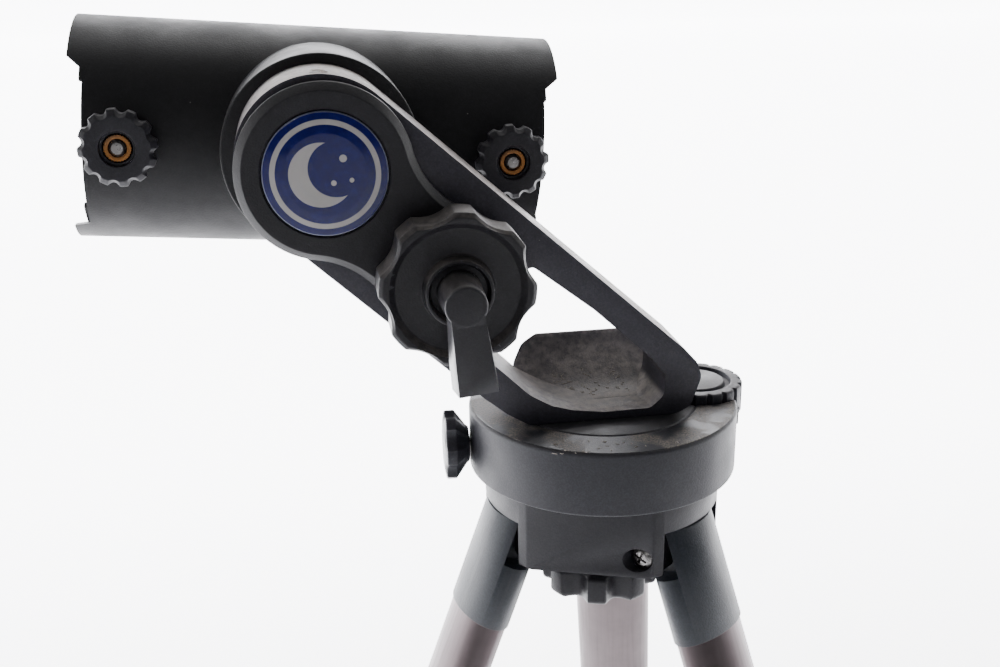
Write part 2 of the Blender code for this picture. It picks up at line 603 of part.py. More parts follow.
def build_leg(word, angle, deck):
    """One leg: its own frame stands on the hinge, so that everything below folds with it."""
    outward = math.radians(angle)
    spread = math.radians(LEG_SPREAD)
    u = Vector((math.cos(outward), math.sin(outward), 0))
    up = Vector((0, 0, 1))
    axis_y = u * math.cos(spread) + up * math.sin(spread)
    axis_z = up * math.cos(spread) - u * math.sin(spread)
    axis_x = axis_y.cross(axis_z)
    turn = Matrix((axis_x, axis_y, axis_z)).transposed()
    hinge = u * HINGE_REACH + up * HINGE_Z
    leg = frame(f"leg_{word}", hinge, turn, deck)
    slide = frame(f"leg_slide_{word}", (0, 0, 0), None, leg)

    level = frame(f"hinge_level_{word}", hinge, rotation("Z", angle), deck)
    screw = lathe([(0, -13.5), (1.4, -13.5), (2.0, -12.5), (2.0, 17.8), (3.8, 17.8),
                   (3.8, 19.4), (2.6, 20.4), (0, 20.6)], 12)
    screw = make_object(f"hinge_screw_{word}", turned(screw, rotation("X", 90)), level, STEEL)
    for width, depth in ((0.9, 4.4), (4.4, 0.9)):
        cut(screw, box((-width / 2, -22, -depth / 2), (width / 2, -19.3, depth / 2)))

    top_z = 11.5
    cap = make_object(f"leg_cap_{word}", prism(oval(CAP_WIDTH, CAP_DEPTH), CAP_END, top_z),
                      leg, CAP_PLASTIC)
    cut(cap, oval_fit(TUBE_WIDTH, TUBE_DEPTH, CAP_END - 1, TUBE_TOP + GAP))
    cut(cap, box((-20, -20, -10.0), (20, NOTCH_AT, 20)))
    cut(cap, turned(box((-20, -6, POCKET_TOP - 0.6 - HINGE_Z), (20, 40, 60)),
                    rotation("X", -LEG_SPREAD)))
    half = TONGUE_WIDTH / 2
    tongue = [(-6.0, -14.0), (9.0, -14.0), (9.0, -9.0)] + arc((0, 0), 6.0, 0, 180, 10)
    tongue = turned(prism(tongue, -half, half), Matrix(((0, 0, 1), (1, 0, 0), (0, 1, 0))))
    join(cap, tongue)
    cut(cap, turned(cylinder(2.4, -20, 20, 16), rotation("Y", 90)))

    make_object(f"upper_tube_{word}", oval_tube(TUBE_WIDTH, TUBE_DEPTH, TUBE_END, TUBE_TOP),
                leg, TUBE_METAL)
    collar = make_object(f"leg_collar_{word}", loft([
        (oval(TUBE_WIDTH + 5, TUBE_DEPTH + 5), COLLAR_END),
        (oval(TUBE_WIDTH + 5, TUBE_DEPTH + 5), COLLAR_TOP - 4),
        (oval(TUBE_WIDTH + 3, TUBE_DEPTH + 3), COLLAR_TOP)]), leg, CAP_PLASTIC)
    cut(collar, oval_fit(TUBE_WIDTH, TUBE_DEPTH, TUBE_END - GAP, COLLAR_TOP + 1))
    cut(collar, oval_fit(INNER_WIDTH, INNER_DEPTH, COLLAR_END - 1, COLLAR_TOP + 1))
    knob_z = (TUBE_END + COLLAR_END) / 2
    lock = frame(f"leg_lock_axis_{word}", (0, LEG_OFFSET, knob_z), rotation("X", -90), leg)
    face = TUBE_DEPTH / 2 + 2.5
    join(collar, cylinder(6.0, face - 3, face + 3, 12), lock)
    cut(collar, cylinder(2.4, INNER_DEPTH / 2, face + 4, 10), lock)
    make_object(f"leg_lock_knob_{word}", lathe([
        (0, INNER_DEPTH / 2 + 0.5), (2.0, INNER_DEPTH / 2 + 0.5), (2.0, face + 3.3),
        (5.5, face + 3.3), (9.0, face + 6.0, 1), (9.0, face + 11.0, 1), (7.8, face + 12.0, 0.5),
        (0, face + 12.0)], 24, scallop=lobes(6, 1.8, 0.3)), lock, CAP_PLASTIC)

    make_object(f"lower_tube_{word}", oval_tube(INNER_WIDTH, INNER_DEPTH, LOWER_END, LOWER_TOP),
                slide, TUBE_METAL)
    foot = make_object(f"leg_foot_{word}", loft([
        (oval(16, 8), FOOT_LEVEL + 3.0),
        (oval(INNER_WIDTH + 3, INNER_DEPTH + 3), LOWER_END - 6),
        (oval(INNER_WIDTH + 4, INNER_DEPTH + 4), LOWER_END + 18)]), slide, RUBBER)
    cut(foot, oval_fit(INNER_WIDTH, INNER_DEPTH, LOWER_END - GAP, LOWER_END + 20))
    reach, level_z = leg_point(LEG_OFFSET, FOOT_LEVEL)
    pad = lathe([(0, 0), (FOOT_RADIUS - 1.2, 0), (FOOT_RADIUS, 1.2), (FOOT_RADIUS, FOOT_PAD - 3),
                 (FOOT_RADIUS - 3, FOOT_PAD), (0, FOOT_PAD)], 16)
    bmesh.ops.translate(pad, vec=(*polar(reach, angle), level_z), verts=pad.verts)
    join(foot, pad, deck)


# ------------------------------------------------------------------ assembly

clear_scene()
FOOT_REACH, GROUND = leg_point(LEG_OFFSET, FOOT_LEVEL)
FEET = [polar(FOOT_REACH, angle) for angle in LEG_ANGLES.values()]
WHEEL_AT = polar((RING_TEETH + WHEEL_TEETH) / 2, WHEEL_ANGLE)
AXIS_X = -(min(x for x, _ in FEET) + max(x for x, _ in FEET)) / 2
AXIS_Y = -(min(y for _, y in FEET) + max(y for _, y in FEET)) / 2
IDLER_REACH = (HUB_TEETH + IDLER_TEETH) / 2
KNOB_REACH = IDLER_REACH + (IDLER_TEETH + PINION_TEETH) / 2
IDLER_AT = along((0, 0), TRAIN_ANGLE, IDLER_REACH)
KNOB_AT = along((0, 0), TRAIN_ANGLE, KNOB_REACH)
ARM_SCREWS = [(20.0, -14.0), (-14.0, 18.0), (10.0, 20.0)]
ARM_SCREW_DEPTHS = [7.4, 12.0, 12.0]

DECK = frame("deck", (AXIS_X, AXIS_Y, -GROUND), None, None)
LOCK_TURN = rotation("Z", LOCK_ANGLE) @ rotation("Y", 90)
LOCK_FRAME = frame("azimuth_lock_axis", (0, 0, LOCK_Z), LOCK_TURN, DECK)
FRONT = frame("front", (HUB[0], 0, HUB[1]), rotation("X", 90), DECK)
ALTITUDE = frame("altitude", (0, 0, 0), rotation("Z", -TILT), FRONT)
IDLER_AXIS = frame("idler_axis", (*IDLER_AT, 0), None, FRONT)
KNOB_AXIS = frame("knob_axis", (*KNOB_AT, 0), None, FRONT)

build_housing(DECK)
build_azimuth_base(DECK)
build_thumbwheel(DECK)
build_azimuth_lock()
build_arm_screws(DECK)
build_arm(DECK, FRONT)
build_cover(FRONT)
build_gear_train(FRONT, ALTITUDE, IDLER_AXIS, KNOB_AXIS)
build_knob(KNOB_AXIS)
build_lever(KNOB_AXIS)
build_cradle(ALTITUDE)
build_thumb_nut(-1, "left", ALTITUDE)
build_thumb_nut(1, "right", ALTITUDE)
build_head(DECK)
build_mounting_knob(DECK)
for leg_word, leg_angle in LEG_ANGLES.items():
    build_leg(leg_word, leg_angle, DECK)
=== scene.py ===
"""Alt-azimuth telescope mount: fine surfaces, finishes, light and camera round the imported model.

Lengths in the builders are millimetres. Each piece is built in a local frame (deck, front, leg
and so on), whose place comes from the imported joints, and rides on the body of that joint.
"""
import json
import math
import random

import bmesh
import bpy
from mathutils import Matrix, Vector


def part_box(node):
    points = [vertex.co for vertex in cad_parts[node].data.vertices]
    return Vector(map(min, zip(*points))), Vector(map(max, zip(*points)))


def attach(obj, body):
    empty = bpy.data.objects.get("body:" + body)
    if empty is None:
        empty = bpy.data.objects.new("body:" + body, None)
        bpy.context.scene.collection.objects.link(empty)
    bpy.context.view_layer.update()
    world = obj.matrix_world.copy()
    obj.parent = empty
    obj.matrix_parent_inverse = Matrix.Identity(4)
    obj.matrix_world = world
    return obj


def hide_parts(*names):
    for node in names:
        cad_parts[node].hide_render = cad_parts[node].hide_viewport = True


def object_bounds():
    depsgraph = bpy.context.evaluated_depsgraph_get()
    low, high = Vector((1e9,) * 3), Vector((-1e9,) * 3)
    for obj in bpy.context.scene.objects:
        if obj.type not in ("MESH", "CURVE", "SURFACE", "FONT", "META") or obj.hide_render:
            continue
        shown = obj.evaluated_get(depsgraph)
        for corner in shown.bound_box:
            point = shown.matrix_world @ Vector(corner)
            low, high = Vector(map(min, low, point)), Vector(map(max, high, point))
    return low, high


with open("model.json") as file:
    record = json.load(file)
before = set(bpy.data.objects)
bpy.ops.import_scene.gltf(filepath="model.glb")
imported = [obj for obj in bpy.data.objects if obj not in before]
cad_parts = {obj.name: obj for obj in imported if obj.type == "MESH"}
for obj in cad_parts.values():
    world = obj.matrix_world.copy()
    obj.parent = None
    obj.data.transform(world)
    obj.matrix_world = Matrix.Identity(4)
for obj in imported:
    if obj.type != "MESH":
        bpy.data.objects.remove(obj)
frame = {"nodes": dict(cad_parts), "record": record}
CAD_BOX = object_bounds()

MM = 0.001
JOINTS = {joint["name"]: joint for joint in frame["record"]["behaviour"]["joints"]}
LEGS = ("right", "back", "left")

# ------------------------------------------------------------------ frames


def joint_place(name):
    return Vector(JOINTS[name]["pos_m"])


def turn(axis, degrees):
    return Matrix.Rotation(math.radians(degrees), 4, axis)


def basis(x, y, z, place):
    matrix = Matrix((x, y, z)).transposed().to_4x4()
    matrix.translation = place
    return matrix


HOUSING_R = 45.2
HOUSING_STEP = 31.4
WHEEL_R = 16.25
WHEEL_CLEARANCE = 16.9
DECK_AT = joint_place("azimuth_turn")
DECK_AT.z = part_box("azimuth_housing")[1].z
DECK = Matrix.Translation(DECK_AT)
HUB_AT = joint_place("altitude_tilt")
FRONT = Matrix.Translation(HUB_AT) @ turn("X", 90)
TILT = 4.6
ALTITUDE = FRONT @ turn("Z", -TILT)
KNOB = Matrix.Translation(joint_place("slow_motion_turn")) @ turn("X", 90)
WHEEL = Matrix.Translation(joint_place("thumbwheel_turn"))
KNOB_OFFSET = FRONT.inverted() @ KNOB.translation / MM
TRAIN_ANGLE = math.degrees(math.atan2(KNOB_OFFSET.y, KNOB_OFFSET.x))
TRAIN_REACH = math.hypot(KNOB_OFFSET.x, KNOB_OFFSET.y)
HUB_XZ = ((HUB_AT.x - DECK_AT.x) / MM, (HUB_AT.z - DECK_AT.z) / MM)
WHEEL_XY = tuple((WHEEL.translation - DECK_AT).xy / MM)


def axis_frame(name, back_off):
    """Frame with z along a joint's axis; back_off is how far its origin lies behind pos_m."""
    z = Vector(JOINTS[name]["axis"]).normalized()
    side = Vector((0, 0, 1)).cross(z).normalized()
    return basis(side, z.cross(side), z, joint_place(name) - z * back_off * MM)


def leg_frame(word):
    x = Vector(JOINTS[f"leg_fold_{word}"]["axis"]).normalized()
    z = -Vector(JOINTS[f"leg_slide_{word}"]["axis"]).normalized()
    return basis(x, z.cross(x), z, joint_place(f"leg_fold_{word}"))


# ------------------------------------------------------------------ mesh tools

def finish_mesh(name, bm, place, material, body, nodes=(), sharp=32.0):
    """Mesh object in metres at its frame, riding on its body."""
    bmesh.ops.scale(bm, vec=(MM, MM, MM), verts=bm.verts)
    bmesh.ops.recalc_face_normals(bm, faces=bm.faces)
    mesh = bpy.data.meshes.new(name)
    bm.to_mesh(mesh)
    bm.free()
    mesh.shade_smooth()
    mesh.set_sharp_from_angle(angle=math.radians(sharp))
    mesh.materials.append(material)
    obj = bpy.data.objects.new(name, mesh)
    bpy.context.scene.collection.objects.link(obj)
    obj.matrix_world = place
    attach(obj, body)
    if nodes:
        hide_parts(*nodes)
    return obj


def cutter(bm, place):
    """Second operand of a Boolean, in metres at its frame."""
    bmesh.ops.scale(bm, vec=(MM, MM, MM), verts=bm.verts)
    bmesh.ops.recalc_face_normals(bm, faces=bm.faces)
    mesh = bpy.data.meshes.new("cutter")
    bm.to_mesh(mesh)
    bm.free()
    obj = bpy.data.objects.new("cutter", mesh)
    bpy.context.scene.collection.objects.link(obj)
    obj.matrix_world = place
    return obj


def combine(obj, steps):
    """Booleans baked into the mesh, in order; steps are (operation, bmesh, frame)."""
    for operation, bm, place in steps:
        tool = cutter(bm, place)
        modifier = obj.modifiers.new("step", "BOOLEAN")
        modifier.operation = operation
        modifier.solver = "EXACT"
        modifier.object = tool
        bake(obj)
        bpy.data.objects.remove(tool, do_unlink=True)
    return obj


def bake(obj):
    """Replace the mesh with what its modifiers make of it."""
    bpy.context.view_layer.update()
    depsgraph = bpy.context.evaluated_depsgraph_get()
    mesh = bpy.data.meshes.new_from_object(obj.evaluated_get(depsgraph))
    obj.modifiers.clear()
    obj.data = mesh


def soften(obj, width, segments=3, angle=38.0, sharp=50.0):
    """Round the sharp edges, as a mould or a coat of paint does."""
    mesh = bmesh.new()
    mesh.from_mesh(obj.data)
    bmesh.ops.remove_doubles(mesh, verts=mesh.verts, dist=2e-6)
    bmesh.ops.dissolve_limit(mesh, angle_limit=math.radians(0.4), verts=mesh.verts,
                             edges=mesh.edges)
    mesh.to_mesh(obj.data)
    mesh.free()
    modifier = obj.modifiers.new("soft_edges", "BEVEL")
    modifier.width = width * MM
    modifier.segments = segments
    modifier.limit_method = "ANGLE"
    modifier.angle_limit = math.radians(angle)
    modifier.use_clamp_overlap = True
    modifier.harden_normals = False
    bake(obj)
    obj.data.shade_smooth()
    obj.data.set_sharp_from_angle(angle=math.radians(sharp))
    return obj


def bridge(bm, low, high):
    count = max(len(low), len(high))
    for i in range(count):
        j = (i + 1) % count
        if len(low) == 1:
            corners = (low[0], high[j], high[i])
        elif len(high) == 1:
            corners = (low[i], low[j], high[0])
        else:
            corners = (low[i], low[j], high[j], high[i])
        bm.faces.new(corners)


def rounded(points, radius=0.0, steps=5, closed=True):
    """Polyline with its corners rounded; a point (a, b, r) has its own radius r."""
    count = len(points)
    out = []
    for i, point in enumerate(points):
        here = Vector(point[:2])
        r = point[2] if len(point) > 2 else radius
        if r <= 0 or (not closed and i in (0, count - 1)):
            out.append(tuple(here))
            continue
        before = Vector(points[i - 1][:2]) - here
        after = Vector(points[(i + 1) % count][:2]) - here
        room = min(before.length, after.length) * 0.48
        half = before.angle(after) / 2
        if half > math.radians(88):
            out.append(tuple(here))
            continue
        reach = min(r / math.tan(half), room)
        start = here + before.normalized() * reach
        end = here + after.normalized() * reach
        for k in range(steps + 1):
            t = k / steps
            out.append(tuple((1 - t) ** 2 * start + 2 * t * (1 - t) * here + t * t * end))
    return out


def lathe(profile, segments=96, lobe=None, inner=0.0, outer=1.0, centre=(0.0, 0.0)):
    """Solid of revolution about z. lobe(angle) is a dip that grows from inner to outer radius."""
    bm = bmesh.new()
    rings = []
    for radius, height in profile:
        if radius < 1e-6:
            rings.append([bm.verts.new((*centre, height))])
            continue
        share = min(1.0, max(0.0, (radius - inner) / (outer - inner))) if lobe else 0.0
        ring = []
        for i in range(segments):
            angle = math.tau * i / segments
            r = radius - (lobe(angle) * share if lobe else 0.0)
            ring.append(bm.verts.new((centre[0] + r * math.cos(angle),
                                      centre[1] + r * math.sin(angle), height)))
        rings.append(ring)
    for low, high in zip(rings, rings[1:]):
        bridge(bm, low, high)
    if profile[0][0] > 1e-6:
        bridge(bm, rings[-1], rings[0])
    return bm


def cylinder(radius, low, high, segments=64, centre=(0.0, 0.0)):
    return lathe([(0, low), (radius, low), (radius, high), (0, high)], segments, centre=centre)


def loft(sections):
    bm = bmesh.new()
    rings = []
    for points, height in sections:
        rings.append([bm.verts.new((*point, height)) for point in points])
    for low, high in zip(rings, rings[1:]):
        bridge(bm, low, high)
    bm.faces.new(rings[0])
    bm.faces.new(rings[-1])
    return bm


def prism(points, low, high):
    return loft([(points, low), (points, high)])


def box(low, high):
    corners = [(low[0], low[1]), (high[0], low[1]), (high[0], high[1]), (low[0], high[1])]
    return prism(corners, low[2], high[2])


def moved(bm, matrix):
    bmesh.ops.transform(bm, matrix=matrix, verts=bm.verts)
    return bm


def arc(centre, radius, start, end, steps):
    points = []
    for i in range(steps + 1):
        angle = math.radians(start + (end - start) * i / steps)
        points.append((centre[0] + radius * math.cos(angle),
                       centre[1] + radius * math.sin(angle)))
    return points


def along(start, degrees, distance):
    angle = math.radians(degrees)
    return (start[0] + distance * math.cos(angle), start[1] + distance * math.sin(angle))


def hollows(count, depth, half_width, phase=0.0, power=2.0):
    """Scoops between lobes; half_width is a scoop's share of the pitch, up to 0.5."""
    def dip(angle):
        place = ((angle - math.radians(phase)) * count / math.tau) % 1.0 - 0.5
        return depth * max(0.0, 1.0 - abs(place / half_width) ** power)
    return dip


# prism with y as its length turned to lie along x: (a, b, c) -> (c, a, b)
ACROSS = Matrix(((0, 0, 1, 0), (1, 0, 0, 0), (0, 1, 0, 0), (0, 0, 0, 1)))

# ------------------------------------------------------------------ materials


class Nodes:
    """Small wrapper that adds nodes to one material and links them."""

    def __init__(self, name):
        self.material = bpy.data.materials.new(name)
        self.material.use_nodes = True
        self.tree = self.material.node_tree
        self.shader = self.tree.nodes["Principled BSDF"]

    def add(self, kind):
        return self.tree.nodes.new(kind)

    def link(self, source, target):
        self.tree.links.new(source, target)

    def position(self, scale=(1, 1, 1)):
        coords = self.add("ShaderNodeTexCoord")
        mapping = self.add("ShaderNodeMapping")
        mapping.inputs["Scale"].default_value = scale
        self.link(coords.outputs["Object"], mapping.inputs["Vector"])
        return mapping.outputs["Vector"]

    def noise(self, vector, scale, detail=2.0, rough=0.5):
        node = self.add("ShaderNodeTexNoise")
        node.inputs["Scale"].default_value = scale
        node.inputs["Detail"].default_value = detail
        node.inputs["Roughness"].default_value = rough
        self.link(vector, node.inputs["Vector"])
        return node.outputs["Fac"]

    def span(self, value, low, high, to_low=0.0, to_high=1.0):
        node = self.add("ShaderNodeMapRange")
        node.interpolation_type = "SMOOTHSTEP"
        self.link(value, node.inputs["Value"])
        for key, number in (("From Min", low), ("From Max", high),
                            ("To Min", to_low), ("To Max", to_high)):
            node.inputs[key].default_value = number
        return node.outputs["Result"]

    def math(self, operation, a, b):
        node = self.add("ShaderNodeMath")
        node.operation = operation
        for socket, value in zip(node.inputs, (a, b)):
            if isinstance(value, (int, float)):
                socket.default_value = value
            else:
                self.link(value, socket)
        return node.outputs[0]

    def mix(self, factor, a, b):
        node = self.add("ShaderNodeMix")
        node.data_type = "RGBA"
        for socket, value in ((node.inputs["Factor"], factor), (node.inputs["A"], a),
                              (node.inputs["B"], b)):
            if isinstance(value, tuple):
                socket.default_value = (*value, 1.0)
            elif isinstance(value, (int, float)):
                socket.default_value = value
            else:
                self.link(value, socket)
        return node.outputs["Result"]

    def bump(self, height, strength, distance):
        node = self.add("ShaderNodeBump")
        node.inputs["Strength"].default_value = strength
        node.inputs["Distance"].default_value = distance
        self.link(height, node.inputs["Height"])
        return node.outputs["Normal"]

    def upward(self, low, high):
        """1 on faces that look up, 0 on the rest."""
        geometry = self.add("ShaderNodeNewGeometry")
        split = self.add("ShaderNodeSeparateXYZ")
        self.link(geometry.outputs["Normal"], split.inputs["Vector"])
        return self.span(split.outputs["Z"], low, high)

    def edges(self, low, high):
        geometry = self.add("ShaderNodeNewGeometry")
        return self.span(geometry.outputs["Pointiness"], low, high)


def coated(name, color, rough, grain=0.22, dust=0.0, specks=0.0, wear_and_edge_highlight=0.0,
           mottle=0.10, dust_and_top_light_color=(0.11, 0.10, 0.092)):
    """Moulded plastic or paint: fine grain, uneven gloss, dust on top that also paints the tops
    lighter as painted top light, specks, worn edges that also carry a painted edge highlight.
    """
    n = Nodes(name)
    vector = n.position()
    cloud = n.noise(vector, 55.0, 4.0, 0.6)
    fine = n.noise(vector, 1700.0, 2.0, 0.6)
    lighter = tuple(c * (1 + mottle * 2) for c in color)
    darker = tuple(c * (1 - mottle) for c in color)
    tone = n.mix(n.span(fine, 0.35, 0.7), darker, lighter)
    shine = n.span(cloud, 0.3, 0.7, rough - 0.05, rough + 0.08)
    # Upward faces mixed toward the dust colour: real dust, and painted light on the tops as well.
    if dust > 0:
        film = n.noise(vector, 330.0, 7.0, 0.75)
        cover = n.math("MULTIPLY", n.upward(0.12, 0.80), n.span(film, 0.34, 0.62, 0.42, 1.0))
        cover = n.math("MULTIPLY", cover, n.span(cloud, 0.34, 0.6, 0.6, 1.0))
        cover = n.math("MULTIPLY", cover, dust)
        tone = n.mix(cover, tone, dust_and_top_light_color)
        shine = n.math("ADD", shine, n.math("MULTIPLY", cover, 0.35))
    if specks > 0:
        cells = n.add("ShaderNodeTexVoronoi")
        cells.inputs["Scale"].default_value = 330.0
        n.link(vector, cells.inputs["Vector"])
        rare = n.span(cells.outputs["Color"], 0.86, 0.88)
        dot = n.math("MULTIPLY", n.span(cells.outputs["Distance"], 0.11, 0.03), rare)
        dot = n.math("MULTIPLY", dot, specks)
        tone = n.mix(dot, tone, (0.16, 0.155, 0.15))
    # Pointy edges lightened: worn edges and a painted edge highlight together.
    if wear_and_edge_highlight > 0:
        edge_wear_and_highlight = n.math("MULTIPLY", n.edges(0.515, 0.57), n.span(cloud, 0.3, 0.65, 0.3, 1.0))
        edge_wear_and_highlight = n.math("MULTIPLY", edge_wear_and_highlight, wear_and_edge_highlight)
        tone = n.mix(edge_wear_and_highlight, tone, (0.10, 0.10, 0.11))
        shine = n.math("SUBTRACT", shine, n.math("MULTIPLY", edge_wear_and_highlight, 0.15))
    n.link(tone, n.shader.inputs["Base Color"])
    n.link(shine, n.shader.inputs["Roughness"])
    n.shader.inputs["Specular IOR Level"].default_value = 0.4
    n.link(n.bump(fine, grain, 0.00040), n.shader.inputs["Normal"])
    return n.material


def metal(name, color, rough, scratch=0.25, stretch=(1, 1, 1), grime=0.0):
    """Bare or anodised metal with fine directional scratches."""
    n = Nodes(name)
    vector = n.position(stretch)
    lines = n.noise(vector, 900.0, 3.0, 0.6)
    cloud = n.noise(n.position(), 70.0, 4.0, 0.6)
    tone = n.mix(n.span(cloud, 0.3, 0.75), tuple(c * 0.92 for c in color),
                 tuple(c * 1.06 for c in color))
    if grime > 0:
        tone = n.mix(n.math("MULTIPLY", n.span(cloud, 0.5, 0.75), grime), tone,
                     (0.08, 0.07, 0.06))
    n.link(tone, n.shader.inputs["Base Color"])
    n.link(n.span(lines, 0.3, 0.7, rough - 0.06, rough + 0.1), n.shader.inputs["Roughness"])
    n.shader.inputs["Metallic"].default_value = 1.0
    n.link(n.bump(lines, scratch, 0.00006), n.shader.inputs["Normal"])
    return n.material


def badge_paint():
    """Deep blue gloss with a grey ring, a crescent and three dots."""
    n = Nodes("badge_gloss")
    coords = n.add("ShaderNodeTexCoord")
    split = n.add("ShaderNodeSeparateXYZ")
    n.link(coords.outputs["Object"], split.inputs["Vector"])

    def distance(x, y):
        dx = n.math("SUBTRACT", split.outputs["X"], x * MM)
        dy = n.math("SUBTRACT", split.outputs["Y"], y * MM)
        square = n.math("ADD", n.math("MULTIPLY", dx, dx), n.math("MULTIPLY", dy, dy))
        return n.math("SQRT", square, 0.0)

    def disc(x, y, radius):
        edge = 0.12
        return n.span(distance(x, y), (radius + edge) * MM, (radius - edge) * MM)

    centre = distance(0, 0)
    ring = n.math("MULTIPLY", n.span(centre, 14.25 * MM, 14.5 * MM),
                  n.span(centre, 16.05 * MM, 15.8 * MM))
    moon = n.math("MULTIPLY", disc(-1.2, 0, 9.4), n.math("SUBTRACT", 1.0, disc(3.2, 1.6, 8.2)))
    pale = n.math("MAXIMUM", ring, moon)
    for x, y, radius in ((5.2, 4.6, 1.1), (2.2, -2.4, 0.8), (7.4, -1.8, 0.7)):
        pale = n.math("MAXIMUM", pale, disc(x, y, radius))
    rim = n.span(centre, 17.75 * MM, 17.95 * MM)
    scuff = n.noise(n.position(), 260.0, 5.0, 0.7)
    blue = n.mix(n.span(scuff, 0.4, 0.8), (0.0020, 0.0042, 0.095), (0.0035, 0.0075, 0.130))
    tone = n.mix(pale, blue, (0.42, 0.405, 0.395))
    tone = n.mix(rim, tone, (0.20, 0.22, 0.32))
    n.link(tone, n.shader.inputs["Base Color"])
    n.link(n.span(scuff, 0.3, 0.8, 0.10, 0.24), n.shader.inputs["Roughness"])
    n.shader.inputs["Coat Weight"].default_value = 0.2
    n.shader.inputs["Coat Roughness"].default_value = 0.06
    return n.material


SATIN = coated("satin_black", (0.0160, 0.0155, 0.0210), 0.45, dust=0.12, specks=0.6)
COVER = coated("cover_black", (0.0120, 0.0115, 0.0150), 0.48, dust=0.06, specks=0.8)
KNOB_BLACK = coated("knob_black", (0.0130, 0.0122, 0.0155), 0.42, dust=0.75, specks=0.7,
                    wear_and_edge_highlight=1.0, dust_and_top_light_color=(0.150, 0.135, 0.125))
LEVER_BLACK = coated("lever_black", (0.0130, 0.0122, 0.0160), 0.38, dust=0.5, specks=0.6,
                     wear_and_edge_highlight=1.0)
PAINT = coated("powder_black", (0.0090, 0.0088, 0.0112), 0.54, dust=0.05, specks=0.9)
# Its pale dust on upward faces is real dust and also painted light on the tops.
ARM_PAINT = coated("arm_black", (0.0420, 0.0405, 0.0530), 0.38, dust=0.95, specks=0.9,
                   dust_and_top_light_color=(0.400, 0.360, 0.335))
DISC = coated("housing_black", (0.0290, 0.0292, 0.0370), 0.48, dust=0.35, specks=0.5,
              dust_and_top_light_color=(0.085, 0.078, 0.072))
WHEEL_GREY = coated("wheel_grey", (0.026, 0.028, 0.038), 0.44, dust=0.5, specks=0.8, wear_and_edge_highlight=0.8,
                    dust_and_top_light_color=(0.15, 0.14, 0.13))
CAP_GREY = coated("cap_blue_grey", (0.028, 0.034, 0.044), 0.40, specks=0.3, wear_and_edge_highlight=0.3)
LOCK_BLACK = coated("lock_black", (0.034, 0.035, 0.044), 0.36, dust=0.2, specks=0.4, wear_and_edge_highlight=0.8)
RUBBER = coated("rubber_black", (0.014, 0.014, 0.016), 0.75, grain=0.3, dust=0.1)
NYLON = coated("nylon_white", (0.45, 0.43, 0.39), 0.5, grain=0.05, mottle=0.02)
TUBE = metal("tube_anodised", (0.135, 0.112, 0.116), 0.36, scratch=0.10, stretch=(1, 1, 0.03))
STEEL = metal("steel_plated", (0.30, 0.29, 0.285), 0.30, scratch=0.3, grime=0.5)
BRASS = metal("brass_turned", (0.32, 0.145, 0.05), 0.42, scratch=0.5, grime=0.6)
BADGE = badge_paint()
LINT = coated("lint_fibre", (0.50, 0.45, 0.40), 0.9)

# ------------------------------------------------------------------ azimuth housing group


def build_housing():
    rim = HOUSING_R
    base = -21.6
    step = HOUSING_STEP
    profile = [(3.4, -3.2), (7.0, -3.2), (7.0, 0.0)]
    profile += rounded([(7.0, 0.0), (step - 0.5, 0.0, 0.2), (step, -0.5, 0.2),
                        (step + 0.6, -0.1, 0.2), (rim, -0.1, 1.5), (rim, base, 0.8),
                        (41.4, base, 0.3), (41.4, -3.6)], steps=6, closed=False)[1:]
    profile += [(12.0, -3.6), (12.0, -6.0), (3.4, -6.0)]
    housing = finish_mesh("housing_shell", lathe(profile, 240), DECK, DISC,
                          "azimuth_head", ["azimuth_housing"])
    combine(housing, [
        ("UNION", cylinder(18.0, -8.8, -3.2, 96, WHEEL_XY), DECK),
        ("INTERSECT", lathe([(0, -22), (rim + 1, -22), (rim + 1, 1), (0, 1)], 240), DECK),
        ("DIFFERENCE", cylinder(16.75, -7.6, 2.0, 120, WHEEL_XY), DECK),
        ("DIFFERENCE", cylinder(3.3, -9.5, -7.0, 32, WHEEL_XY), DECK)])
    housing.data.shade_smooth()
    housing.data.set_sharp_from_angle(angle=math.radians(32))


def build_thumbwheel():
    r, top, bottom = WHEEL_R, 3.1, -7.3
    groove = hollows(18, 1.05, 0.17, power=2.5)
    profile = [(0, top - 0.3)] + rounded([
        (0, top - 0.3), (9.9, top - 0.2, 0.6), (10.4, top - 1.7, 0.3), (12.0, top - 1.7, 0.3),
        (12.4, top, 0.4), (r, top, 1.0), (r, bottom, 0.6), (0, bottom)],
        steps=5, closed=False)[1:]
    finish_mesh("thumbwheel", lathe(profile, 360, groove, 13.0, r - 0.4), WHEEL, WHEEL_GREY,
                "thumbwheel", ["azimuth_thumbwheel"])


def build_azimuth_lock():
    place = axis_frame("azimuth_lock_turn", 50.0)
    r = 11.6
    profile = [(0, 54.2)] + rounded([
        (0, 54.2), (8.4, 54.2, 0.8), (r, 53.6, 0.8), (r, 50.3, 0.6), (6.8, 46.8, 1.0),
        (5.8, 45.7, 0.3), (2.8, 45.7), (2.8, 50.4), (0, 50.4)], steps=5, closed=False)[1:]
    lobe = hollows(6, 2.2, 0.30, power=2.2)
    finish_mesh("azimuth_lock_grip", lathe(profile, 180, lobe, 7.5, r - 0.5), place, LOCK_BLACK,
                "azimuth_lock", ["azimuth_lock_knob"])


# ------------------------------------------------------------------ arm

def arm_outline():
    end = (HUB_XZ[0] - 0.6, HUB_XZ[1] + 2.6)
    points = arc(end, 25.3, 48, 232, 72)
    points += rounded([(-73.4, 38.0), (-43.0, 10.5, 9), (-36.0, 4.8, 6), (-28.6, 0.3, 3),
                       (20.0, 0.3, 3), (25.0, 2.6, 4), (28.5, 12.6, 5), (26.9, 17.6, 5),
                       (22.5, 22.4, 12), (-22.0, 61.7)], steps=6, closed=False)[1:-1]
    return [(x - HUB_XZ[0], z - HUB_XZ[1]) for x, z in points]


